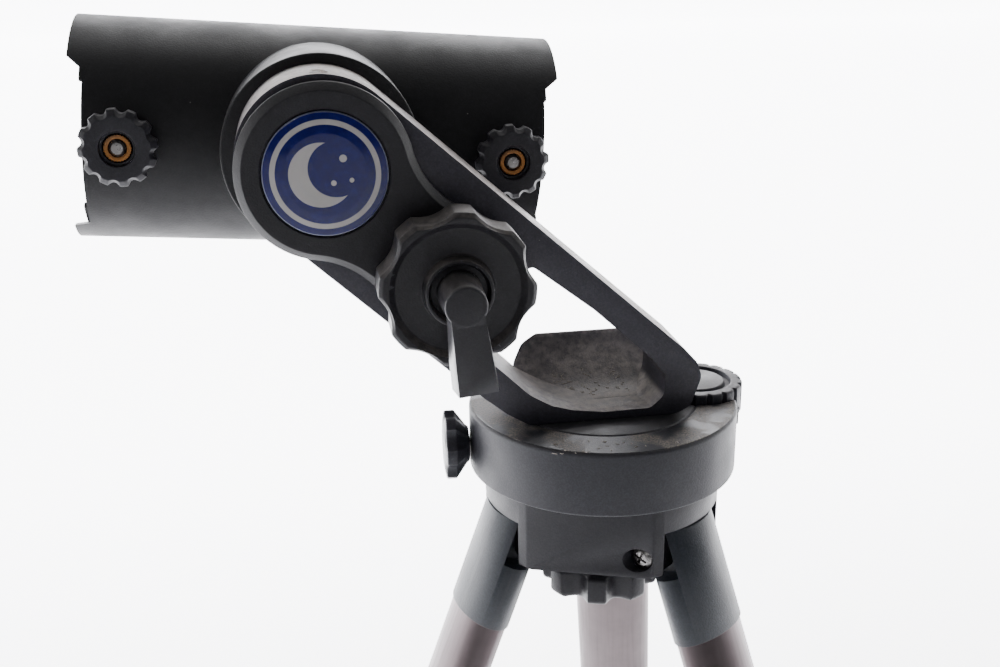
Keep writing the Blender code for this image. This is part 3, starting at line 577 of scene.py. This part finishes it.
def loop_outline():
    knob = along(HUB_XZ, TRAIN_ANGLE, TRAIN_REACH)
    points = arc(knob, 21.5, -82, -3, 30)
    points += rounded([points[-1], (-27.4, 53.0, 2.0), (-7.8, 37.8, 20), (11.3, 20.2, 5),
                       (16.4, 13.6, 5), (15.9, 7.0, 4), (11.5, 3.0, 4), (-4.0, 2.9, 12),
                       (-14.4, 4.3, 12), (-21.5, 6.4, 12), (-28.5, 10.6, 14), (-39.9, 21.8, 8),
                       points[0]], steps=6, closed=False)[1:-1]
    return [(x - HUB_XZ[0], z - HUB_XZ[1]) for x, z in points]


def build_arm():
    front, back = 18.5, -7.4
    arm = finish_mesh("loop_arm", prism(arm_outline(), back, front), FRONT, ARM_PAINT,
                      "azimuth_head", ["altitude_arm"])
    spin = turn("Z", TRAIN_ANGLE)
    half = math.degrees(math.acos(12.0 / TRAIN_REACH))
    pocket = arc((0, 0), 20.5, half, 360 - half, 60) + arc((TRAIN_REACH, 0), 8.5, -half, half, 24)
    combine(arm, [("DIFFERENCE", prism(loop_outline(), back - 1, front + 1), FRONT),
                  ("DIFFERENCE", cylinder(WHEEL_CLEARANCE, -1, 3.6, 96, WHEEL_XY), DECK)])
    soften(arm, 1.5, 4)
    combine(arm, [
        ("DIFFERENCE", moved(prism(pocket, 9.5, front + 1), spin), FRONT),
        ("DIFFERENCE", cylinder(9.0, back - 1, 10.5, 48), FRONT),
        ("DIFFERENCE", cylinder(16.5, back - 1, -5.6, 64), FRONT)])
    arm.data.shade_smooth()
    arm.data.set_sharp_from_angle(angle=math.radians(40))

    scoop = [(-7.0, 1.0), (-6.9, 3.0)] + arc((-5.0, 26.2), 23.1, -88, -22, 36)
    scoop += rounded([scoop[-1], (17.2, 18.9, 1.6), (26.0, 14.2, 4), (30.0, 9.0, 3),
                      (30.8, 0.4)], steps=6, closed=False)[1:] + [(10.0, 0.4)]
    hump = finish_mesh("loop_scoop", moved(prism(scoop, -29.0, 27.0), ACROSS), DECK, ARM_PAINT,
                       "azimuth_head")
    shell = rounded([(0, 0.4), (30.8, 0.4), (30.7, 11.0, 4), (29.4, 16.0, 4), (25.5, 19.2, 4),
                     (0, 19.4)], steps=8, closed=False)
    combine(hump, [("INTERSECT", lathe(shell, 160), DECK)])
    soften(hump, 0.9, 3)


# ------------------------------------------------------------------ cover, badge, knob, lever

def pear(r1, r2, fillet):
    """Cover outline: two circles joined by hollow flanks."""
    reach = TRAIN_REACH
    a, b = r1 + fillet, r2 + fillet
    foot = (a * a - b * b + reach * reach) / (2 * reach)
    aside = math.sqrt(a * a - foot * foot)
    open_1 = math.degrees(math.atan2(aside, foot))
    open_2 = math.degrees(math.atan2(aside, foot - reach))
    points = arc((0, 0), r1, open_1, 360 - open_1, 96)
    points += arc((foot, -aside), fillet, 180 - open_1, 180 - open_2, 28)[1:]
    points += arc((reach, 0), r2, -open_2, open_2, 48)[1:]
    points += arc((foot, aside), fillet, open_2 - 180, open_1 - 180, 28)[1:-1]
    c, s = math.cos(math.radians(TRAIN_ANGLE)), math.sin(math.radians(TRAIN_ANGLE))
    return [(x * c - y * s, x * s + y * c) for x, y in points]


def build_cover():
    back, edge, face = 18.8, 21.2, 23.6
    section = rounded([(0.0, back), (0.0, edge, 0.5), (2.3, face, 0.5), (4.0, face)], steps=5,
                      closed=False)
    sections = [(pear(26.2 - d, 20.6 - d, 28.1 + d), z) for d, z in section]
    cover = finish_mesh("drive_cover", loft(sections), FRONT, COVER,
                        "azimuth_head", ["gear_cover"])
    recess = lathe([(0, face - 1.5), (18.6, face - 1.5), (18.6, face - 0.35), (19.0, face + 0.1),
                    (19.0, face + 1), (0, face + 1)], 180)
    combine(cover, [("DIFFERENCE", recess, FRONT),
                    ("DIFFERENCE", cylinder(4.5, back - 1, face + 1), KNOB)])
    cover.data.shade_smooth()
    cover.data.set_sharp_from_angle(angle=math.radians(30))
    seat = face - 1.2
    dome = [(0, seat), (18.2, seat)] + rounded([(18.2, seat), (18.2, seat + 1.3, 0.8),
                                                (12.0, seat + 1.95, 6), (0, seat + 2.15)],
                                               steps=8, closed=False)[1:]
    finish_mesh("dome_badge", lathe(dome, 180), FRONT, BADGE, "azimuth_head",
                ["badge"])


def build_knob():
    r, back, face = 23.4, 24.3, 37.8
    profile = [(2.8, 33.0), (2.8, 37.6)] + rounded([
        (2.8, 37.6), (8.5, 37.6, 0.4), (9.0, 40.2, 0.5), (10.1, 40.0, 0.6), (10.6, 36.0, 0.6),
        (18.6, 36.0, 0.8), (20.3, 37.7, 0.4), (22.0, face, 1.0), (r, face - 1.1, 0.8),
        (r, back + 0.9, 0.6), (r - 1.0, back, 0.4), (4.4, back)], steps=5, closed=False)[1:]
    profile += [(4.4, 33.0)]
    lobe = hollows(8, 2.2, 0.33, phase=-6, power=2.0)
    finish_mesh("slow_motion_grip", lathe(profile, 320, lobe, 20.3, r - 0.6), KNOB, KNOB_BLACK,
                "slow_motion", ["slow_motion_knob"])


def build_lever():
    boss = rounded([(0, 38.0), (6.7, 38.0, 0.3), (6.15, 53.0, 0.9), (0, 53.0)], steps=5,
                   closed=False)
    lever = finish_mesh("clamp_lever_grip", lathe(boss, 96), KNOB, LEVER_BLACK,
                        "clamp", ["clamp_lever"])
    length, crease = 26.5, 17.6

    def blade(grow):
        neck, tip = 4.9 + grow * 0.5, 5.7 + grow
        return [(1.0, -neck), (6.0, -neck), (crease, -tip + 0.3), (length, -tip), (length, tip),
                (crease, tip - 0.3), (6.0, neck), (1.0, neck)]
    tilt = turn("Z", -83.5)
    combine(lever, [("UNION", moved(loft([(blade(1.1), 45.0), (blade(0.0), 52.93)]), tilt), KNOB),
                    ("DIFFERENCE", cylinder(2.7, 37, 49.3, 40), KNOB)])
    soften(lever, 0.45, 3, angle=30)


# ------------------------------------------------------------------ cradle

CRADLE_AT = (-2.5, -58.6)
CRADLE_R, CRADLE_WALL = 37.0, 2.0
CRADLE_HALF, CRADLE_NECK = 78.6, 73.5


def shell_points(radius, low, high, steps):
    return [(CRADLE_AT[0] + y, CRADLE_AT[1] + z) for z, y in arc((0, 0), radius, low, high, steps)]


def radial_normals(obj, centre, limit=12.0):
    """Exact normals on the faces of a shell round an axis along local x."""
    mesh = obj.data
    close = math.cos(math.radians(limit))
    normals = [Vector(corner.vector) for corner in mesh.corner_normals]
    for face in mesh.polygons:
        for index in face.loop_indices:
            point = mesh.vertices[mesh.loops[index].vertex_index].co / MM
            radial = Vector((0, point.y - centre[0], point.z - centre[1])).normalized()
            lean = radial.dot(face.normal)
            if abs(lean) > close:
                normals[index] = radial if lean > 0 else -radial
    mesh.normals_split_custom_set(normals)


def build_cradle():
    inner = CRADLE_R - CRADLE_WALL
    section = shell_points(CRADLE_R, -100, 100, 120) + shell_points(inner, 100, -100, 120)
    cradle = finish_mesh("tube_cradle", moved(prism(section, -CRADLE_HALF, CRADLE_HALF), ACROSS),
                         ALTITUDE, PAINT, "altitude_cradle", ["cradle"])
    notches = []
    for side in (-1, 1):
        notch = [(side * CRADLE_NECK, -30.0), (side * (CRADLE_HALF + 1), -31.5),
                 (side * (CRADLE_HALF + 1), 24.5), (side * CRADLE_NECK, 20.0)]
        notches.append(("DIFFERENCE", prism(notch, -60.0, 0.0), ALTITUDE))
        notches.append(("DIFFERENCE", cylinder(2.9, -40, 0, 32, (side * 62.0, -1.7)), ALTITUDE))
    combine(cradle, notches)
    soften(cradle, 0.55, 3, angle=45)
    radial_normals(cradle, CRADLE_AT)
    boss = rounded([(0, -7.7), (31.0, -7.7, 0.8), (31.0, -40.0)], steps=6, closed=False)
    boss += [(0, -40.0)]
    hub = finish_mesh("cradle_boss", lathe(boss, 200), ALTITUDE, PAINT,
                      "altitude_cradle")
    hollow = shell_points(inner + 0.6, 0, 360, 120)[:-1]
    combine(hub, [("DIFFERENCE", moved(prism(hollow, -90, 90), ACROSS), ALTITUDE),
                  ("DIFFERENCE", cylinder(4.4, -40, 0, 48), ALTITUDE),
                  ("DIFFERENCE", cylinder(9.6, -40, -21.2, 48), ALTITUDE)])
    hub.data.shade_smooth()
    hub.data.set_sharp_from_angle(angle=math.radians(40))
    for name, low, high in (("lower", -62, -38), ("upper", 34, 58)):
        pad = shell_points(inner - 0.3, low, high, 24) + shell_points(inner - 2.3, high, low, 24)
        piece = finish_mesh(f"felt_pad_{name}", moved(prism(pad, -75, 75), ACROSS), ALTITUDE,
                            RUBBER, "altitude_cradle", [f"cradle_pad_{name}"])
        soften(piece, 0.5, 2, angle=45)


def build_thumb_nuts():
    r = 12.1
    for word in ("left", "right"):
        place = Matrix.Translation(joint_place(f"thumb_nut_turn_{word}")) @ turn("X", 90)
        body = f"nut_{word}"
        profile = [(4.7, -21.2)] + rounded([
            (4.7, -21.2), (7.5, -21.2, 0.3), (7.5, -18.9, 0.5), (r, -18.8, 0.5),
            (r, -15.4, 0.7), (10.2, -13.9, 0.8), (5.6, -13.9, 0.3), (5.4, -15.6),
            (4.7, -15.6)], steps=5, closed=False)[1:]
        lobe = hollows(12, 1.35, 0.30, phase=4)
        finish_mesh(f"thumb_nut_grip_{word}", lathe(profile, 288, lobe, 9.2, r - 0.5), place,
                    SATIN, body, [f"thumb_nut_{word}"])
        knurl = hollows(30, 0.35, 0.5, power=1.4)
        ring = rounded([(2.8, -20.9), (4.4, -20.9, 0.2), (4.4, -15.5, 0.3), (2.8, -15.5, 0.3)],
                       steps=3)
        finish_mesh(f"nut_bush_{word}", lathe(ring, 240, knurl, 3.4, 4.4), place, BRASS,
                    body, [f"nut_insert_{word}"])
        side = -62.0 if word == "left" else 62.0
        stud = [(0, -26.0), (6.0, -26.0), (6.0, -24.6), (2.5, -24.6)]
        pitch, z = 0.8, -24.0
        while z < -15.8:
            stud += [(2.5, z), (2.15, z + pitch / 2)]
            z += pitch
        stud += [(2.5, -15.4), (1.8, -14.6), (0, -14.5)]
        finish_mesh(f"stud_{word}", lathe(stud, 48, centre=(side, -1.7)), ALTITUDE, STEEL,
                    "altitude_cradle", [f"cradle_stud_{word}"])


# ------------------------------------------------------------------ tripod

HINGE_REACH, HINGE_Z = 30.6, -41.7
LEG_OFFSET = 2.8
SPREAD = math.degrees(math.acos(abs(JOINTS["leg_slide_left"]["axis"][2])))


def oval(width, depth, segments=72):
    points = []
    for i in range(segments):
        angle = math.tau * i / segments
        points.append((width / 2 * math.cos(angle), LEG_OFFSET + depth / 2 * math.sin(angle)))
    return points


def oval_body(profile, width, depth):
    """Loft of ovals; profile gives (inset, z) from one end to the other."""
    return loft([(oval(width - 2 * inset, depth - 2 * inset), z) for inset, z in profile])


def leg_level(word):
    """Frame at a leg's hinge with x pointing away from the azimuth axis and z up."""
    place = joint_place(f"leg_fold_{word}")
    away = Vector((place.x - DECK_AT.x, place.y - DECK_AT.y, 0)).normalized()
    up = Vector((0, 0, 1))
    return basis(away, up.cross(away), up, place)


def build_head():
    r, top, bottom = 40.0, -21.9, -48.0
    profile = rounded([(0, top), (r, top, 0.4), (r, bottom, 0.9), (0, bottom)], steps=4,
                      closed=False)
    head = finish_mesh("tripod_block", lathe(profile, 180), DECK, SATIN,
                       "tripod", ["tripod_head"])
    steps = []
    for word in LEGS:
        level = leg_level(word)
        hinge = Matrix.Translation((-HINGE_REACH * MM, 0, -HINGE_Z * MM))
        local = level @ hinge
        steps.append(("DIFFERENCE", box((-60, -40, bottom - 1), (-34.5, 40, top - 1.6)), local))
        steps.append(("DIFFERENCE", box((34.5, -16, bottom - 1), (60, 16, -32.6)), local))
        steps.append(("DIFFERENCE", box((20.0, -7.1, bottom - 1), (60, 7.1, -33.1)), local))
        seat = lathe([(0, -17.0), (2.4, -17.0), (2.4, 17.5), (4.2, 17.5), (4.2, 40), (0, 40)], 48)
        steps.append(("DIFFERENCE", moved(seat, turn("X", 90)), level))
    steps.append(("DIFFERENCE", cylinder(4.4, bottom - 1, top + 1, 48), DECK))
    combine(head, steps)
    soften(head, 0.45, 2, angle=40)


def build_mounting_knob():
    r, bottom = 20.2, -68.6
    profile = rounded([(0, bottom), (r, bottom, 2.2), (r, -58.6, 1.4), (9.6, -57.2, 1.5),
                       (8.5, -48.3, 0.3), (4.4, -48.3), (4.4, -63.0), (0, -63.0)], steps=6,
                      closed=False)
    lobe = hollows(8, 3.6, 0.30, phase=-17, power=2.2)
    finish_mesh("mounting_grip", lathe(profile, 240, lobe, 11.0, r - 1.0), DECK, SATIN,
                "mounting_screw", ["mounting_knob"])


def build_hinge_screw(word):
    level = leg_level(word)
    profile = rounded([(0, -13.5), (1.4, -13.5), (2.0, -12.6), (2.0, 17.8), (3.8, 17.8, 0.2),
                       (3.8, 19.3, 0.5), (2.4, 20.4, 1.2), (0, 20.6)], steps=4, closed=False)
    screw = finish_mesh(f"hinge_bolt_{word}", moved(lathe(profile, 64), turn("X", 90)), level,
                        STEEL, "tripod", [f"hinge_screw_{word}"])
    recess = level @ turn("Y", 20)
    slots = [("DIFFERENCE", box((-w / 2, -22, -d / 2), (w / 2, -19.0, d / 2)), recess)
             for w, d in ((0.9, 4.6), (4.6, 0.9))]
    combine(screw, slots)
    screw.data.shade_smooth()
    screw.data.set_sharp_from_angle(angle=math.radians(35))


def build_leg(word):
    leg = leg_frame(word)
    upper, lower = f"upper_leg_{word}", f"lower_leg_{word}"
    cap = finish_mesh(f"cap_shell_{word}", oval_body(
        [(0.25, -33.0), (0.0, -32.7), (0.0, 11.5)], 31.2, 18.6), leg, CAP_GREY,
        upper, [f"leg_cap_{word}"])
    half = 6.8
    tongue = [(-6.0, -14.0), (9.0, -14.0), (9.0, -9.0)] + arc((0, 0), 6.0, 0, 180, 32)
    combine(cap, [
        ("DIFFERENCE", prism(oval(30.4, 17.8), -34.0, -20.0), leg),
        ("DIFFERENCE", box((-20, -20, -10.0), (20, 7.3, 20)), leg),
        ("DIFFERENCE", box((-20, -6, 8.5), (20, 40, 60)), leg @ turn("X", -SPREAD)),
        ("UNION", moved(prism(tongue, -half, half), ACROSS), leg),
        ("DIFFERENCE", moved(cylinder(2.4, -20, 20, 48), turn("Y", 90)), leg)])
    soften(cap, 0.3, 2, angle=40)

    def tube(name, body, node, width, depth, low, high):
        bm = bmesh.new()
        wall = 1.2
        rings = []
        for inset, z in ((0, low), (0, high), (wall, high), (wall, low)):
            points = oval(width - 2 * inset, depth - 2 * inset)
            rings.append([bm.verts.new((*point, z)) for point in points])
        for first, second in zip(rings, rings[1:] + rings[:1]):
            bridge(bm, first, second)
        finish_mesh(name, bm, leg, TUBE, body, [node])

    tube(f"outer_tube_{word}", upper, f"upper_tube_{word}", 29.8, 17.2, -440.0, -20.3)
    tube(f"inner_tube_{word}", lower, f"lower_tube_{word}", 26.2, 13.6, -530.0, -120.0)

    lock = axis_frame(f"leg_lock_turn_{word}", 0.0)
    face = 17.2 / 2 + 2.5
    collar = finish_mesh(f"collar_shell_{word}", oval_body(
        [(0.8, -474.0), (0.0, -472.6), (0.0, -432.6), (0.4, -431.4), (1.2, -428.0)],
        34.8, 22.2), leg, CAP_GREY, upper, [f"leg_collar_{word}"])
    combine(collar, [
        ("DIFFERENCE", prism(oval(30.4, 17.8), -440.3, -427.0), leg),
        ("DIFFERENCE", prism(oval(26.8, 14.2), -475.0, -427.0), leg),
        ("UNION", cylinder(6.0, face - 3, face + 3, 64), lock),
        ("DIFFERENCE", cylinder(2.4, 6.8, face + 4, 40), lock)])
    soften(collar, 0.4, 2, angle=40)
    grip = rounded([(0, 7.3), (2.0, 7.3), (2.0, face + 3.3), (5.5, face + 3.3, 0.4),
                    (9.0, face + 6.0, 0.8), (9.0, face + 12.0, 1.4), (0, face + 12.0)], steps=4,
                   closed=False)
    finish_mesh(f"leg_lock_grip_{word}", lathe(grip, 144, hollows(6, 1.8, 0.3), 5.5, 8.6), lock,
                CAP_GREY, f"leg_lock_{word}", [f"leg_lock_knob_{word}"])

    foot = finish_mesh(f"foot_boot_{word}", loft([
        (oval(16.0, 8.0), -545.0), (oval(28.6, 16.0), -536.6), (oval(29.2, 16.6), -534.0),
        (oval(30.0, 17.4), -514.0), (oval(29.2, 16.6), -512.0)]), leg, RUBBER,
        lower, [f"leg_foot_{word}"])
    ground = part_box(f"leg_foot_{word}")[0].z
    sole = leg_level(word)
    end = leg @ Vector((0, LEG_OFFSET * MM, -548.0 * MM))
    sole.translation = (end.x, end.y, ground)
    pad = rounded([(0, 0), (14.0, 0, 1.2), (14.0, 6.0, 2.0), (11.0, 9.0, 2.0), (0, 9.0)],
                  steps=4, closed=False)
    combine(foot, [
        ("DIFFERENCE", prism(oval(26.8, 14.2), -530.3, -511.0), leg),
        ("UNION", lathe(pad, 72), sole)])
    foot.data.shade_smooth()
    foot.data.set_sharp_from_angle(angle=math.radians(35))


# ------------------------------------------------------------------ dust and lint

def dust_ring():
    """Mottled dust on the housing's outer step, wiped away in patches."""
    n = Nodes("dusty_black")
    vector = n.position()
    patch = n.span(n.noise(vector, 60.0, 3.0, 0.55), 0.44, 0.56)
    fine = n.noise(vector, 1500.0, 4.0, 0.7)
    cover = n.math("MULTIPLY", patch, n.span(fine, 0.35, 0.62))
    n.link(n.mix(cover, (0.022, 0.022, 0.027), (0.210, 0.185, 0.160)),
           n.shader.inputs["Base Color"])
    n.link(n.span(cover, 0.0, 1.0, 0.42, 0.85), n.shader.inputs["Roughness"])
    n.shader.inputs["Specular IOR Level"].default_value = 0.3
    n.link(n.bump(fine, 0.35, 0.0002), n.shader.inputs["Normal"])
    ring = lathe([(32.0, -0.3), (44.4, -0.3), (44.4, -0.07), (32.0, -0.07)], 240)
    obj = finish_mesh("housing_dust", ring, DECK, n.material,
                      "azimuth_head")
    combine(obj, [("DIFFERENCE", cylinder(WHEEL_CLEARANCE, -2, 2, 96, WHEEL_XY), DECK)])
    obj.data.shade_flat()


def lint(name, count, seed, place, low, high, surface, length=(1.0, 3.2)):
    """Short curled fibres lying on a surface; surface(x, y) gives z."""
    chance = random.Random(seed)
    curve = bpy.data.curves.new(name, "CURVE")
    curve.dimensions = "3D"
    curve.bevel_depth = 0.08 * MM
    curve.bevel_resolution = 1
    for _ in range(count):
        x, y = (chance.uniform(a, b) for a, b in zip(low, high))
        heading = chance.uniform(0, math.tau)
        bend = chance.uniform(-0.9, 0.9)
        reach = chance.uniform(*length) / 5
        spline = curve.splines.new("POLY")
        spline.points.add(5)
        for point in spline.points:
            point.co = (x * MM, y * MM, (surface(x, y) + 0.12) * MM, 1)
            x += reach * math.cos(heading)
            y += reach * math.sin(heading)
            heading += bend
    curve.materials.append(LINT)
    obj = bpy.data.objects.new(name, curve)
    bpy.context.scene.collection.objects.link(obj)
    obj.matrix_world = place
    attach(obj, "azimuth_head")


def scoop_height(x, y):
    """Height of the scooped surface over the deck."""
    return 26.2 - math.sqrt(max(0.0, 23.1 ** 2 - (y + 5.0) ** 2)) if y > -5 else 3.1


def build_lint():
    lint("lint_scoop", 46, 7, DECK, (-17, -3), (9, 9), scoop_height)
    lint("lint_ring", 22, 11, DECK, (-26, -42), (20, -34), lambda x, y: -0.05, (0.6, 1.8))
    hub = Matrix.Translation(HUB_AT)
    lint("lint_hub", 5, 5, hub, (-12, -14), (4, -6),
         lambda x, y: math.sqrt(max(0.0, 25.3 ** 2 - (x + 0.6) ** 2)) + 2.6, (3.0, 7.0))


# ------------------------------------------------------------------ CAD nodes that stay

NODE_FINISH = {
    "white_nylon": NYLON, "plated_steel": STEEL, "brass": BRASS, "black_rubber": RUBBER,
    "satin_black_plastic": SATIN, "black_painted_metal": PAINT, "anodised_tube": TUBE,
    "grey_black_plastic": WHEEL_GREY, "blue_grey_plastic": CAP_GREY, "badge_enamel": BADGE}


def paint_nodes():
    for part in frame["record"]["subparts"]:
        obj = frame["nodes"][part["node"]]
        obj.data.materials.clear()
        obj.data.materials.append(NODE_FINISH[part["material_slot"]])


# ------------------------------------------------------------------ light, floor, camera

def build_floor():
    bm = bmesh.new()
    reach, rise, corner = 9.0, 6.0, 1.5
    profile = [(-8.0, 0.0), (reach - corner, 0.0)]
    for i in range(1, 13):
        angle = math.radians(90 * i / 12)
        profile.append((reach - corner + corner * math.sin(angle),
                        corner - corner * math.cos(angle)))
    profile.append((reach, rise))
    rows = []
    for y, z in profile:
        rows.append([bm.verts.new((x, y, z)) for x in (-12.0, 12.0)])
    for first, second in zip(rows, rows[1:]):
        bm.faces.new((first[0], first[1], second[1], second[0]))
    mesh = bpy.data.meshes.new("floor")
    bm.to_mesh(mesh)
    bm.free()
    mesh.shade_smooth()
    n = Nodes("floor_white")
    n.shader.inputs["Base Color"].default_value = (0.90, 0.90, 0.91, 1.0)
    n.shader.inputs["Roughness"].default_value = 0.9
    n.shader.inputs["Specular IOR Level"].default_value = 0.1
    n.shader.inputs["Emission Color"].default_value = (0.97, 0.97, 1.0, 1.0)
    coords = n.add("ShaderNodeTexCoord")
    split = n.add("ShaderNodeSeparateXYZ")
    n.link(coords.outputs["Object"], split.inputs["Vector"])
    glow = n.span(split.outputs["Y"], -0.7, 1.3, 0.14, 7.5)
    n.link(glow, n.shader.inputs["Emission Strength"])
    mesh.materials.append(n.material)
    floor = bpy.data.objects.new("floor", mesh)
    floor.location.z = CAD_BOX[0][2] - 0.0005
    bpy.context.scene.collection.objects.link(floor)


def area(name, place, target, size, power):
    light = bpy.data.lights.new(name, "AREA")
    light.shape = "RECTANGLE"
    light.size, light.size_y = size
    light.energy = power
    obj = bpy.data.objects.new(name, light)
    bpy.context.scene.collection.objects.link(obj)
    obj.location = place
    direction = Vector(target) - Vector(place)
    obj.rotation_euler = direction.to_track_quat("-Z", "Y").to_euler()


def build_light():
    world = bpy.data.worlds.new("studio")
    bpy.context.scene.world = world
    world.use_nodes = True
    tree = world.node_tree
    background = tree.nodes["Background"]
    coords = tree.nodes.new("ShaderNodeTexCoord")
    split = tree.nodes.new("ShaderNodeSeparateXYZ")
    ramp = tree.nodes.new("ShaderNodeMapRange")
    tree.links.new(coords.outputs["Generated"], split.inputs["Vector"])
    tree.links.new(split.outputs["Y"], ramp.inputs["Value"])
    ramp.inputs["From Min"].default_value = -0.15
    ramp.inputs["From Max"].default_value = 0.9
    ramp.inputs["To Min"].default_value = 0.06
    ramp.inputs["To Max"].default_value = 0.8
    tree.links.new(ramp.outputs["Result"], background.inputs["Strength"])
    background.inputs["Color"].default_value = (0.97, 0.97, 1.0, 1.0)
    middle = DECK_AT + Vector((-0.03, 0, 0.05))
    area("key_top", middle + Vector((-0.1, 0.45, 1.3)), middle, (1.6, 0.9), 3.5)
    area("side_left", middle + Vector((-1.6, 0.1, 0.5)), middle, (0.9, 1.2), 8)
    area("side_right", middle + Vector((1.6, 0.2, 0.45)), middle, (0.9, 1.2), 8)
    area("back_wash", middle + Vector((0, 3.2, 3.0)), middle + Vector((0, 4.6, -1.2)),
         (5.0, 2.0), 260)
    area("front_fill", middle + Vector((-0.9, -2.0, 1.0)), middle, (0.5, 0.5), 3)


def build_camera():
    pitch, yaw, roll = 0.332708, 0.167445, 0.0130721
    forward = Vector((math.sin(yaw) * math.cos(pitch), math.cos(yaw) * math.cos(pitch),
                      -math.sin(pitch)))
    right = Vector((math.cos(yaw), -math.sin(yaw), 0))
    down = forward.cross(right)
    x = right * math.cos(roll) + down * math.sin(roll)
    y = -(down * math.cos(roll) - right * math.sin(roll))
    data = bpy.data.cameras.new("camera")
    data.lens = 43.93
    camera = bpy.data.objects.new("camera", data)
    bpy.context.scene.collection.objects.link(camera)
    camera.matrix_world = basis(x, y, -forward, DECK_AT + Vector((-97.8, -372.8, 156.3)) * MM)
    bpy.context.scene.camera = camera


paint_nodes()
build_housing()
build_thumbwheel()
build_azimuth_lock()
build_arm()
build_cover()
build_knob()
build_lever()
build_cradle()
build_thumb_nuts()
build_head()
build_mounting_knob()
for leg_word in LEGS:
    build_hinge_screw(leg_word)
    build_leg(leg_word)
dust_ring()
build_lint()
build_floor()
build_light()
build_camera()
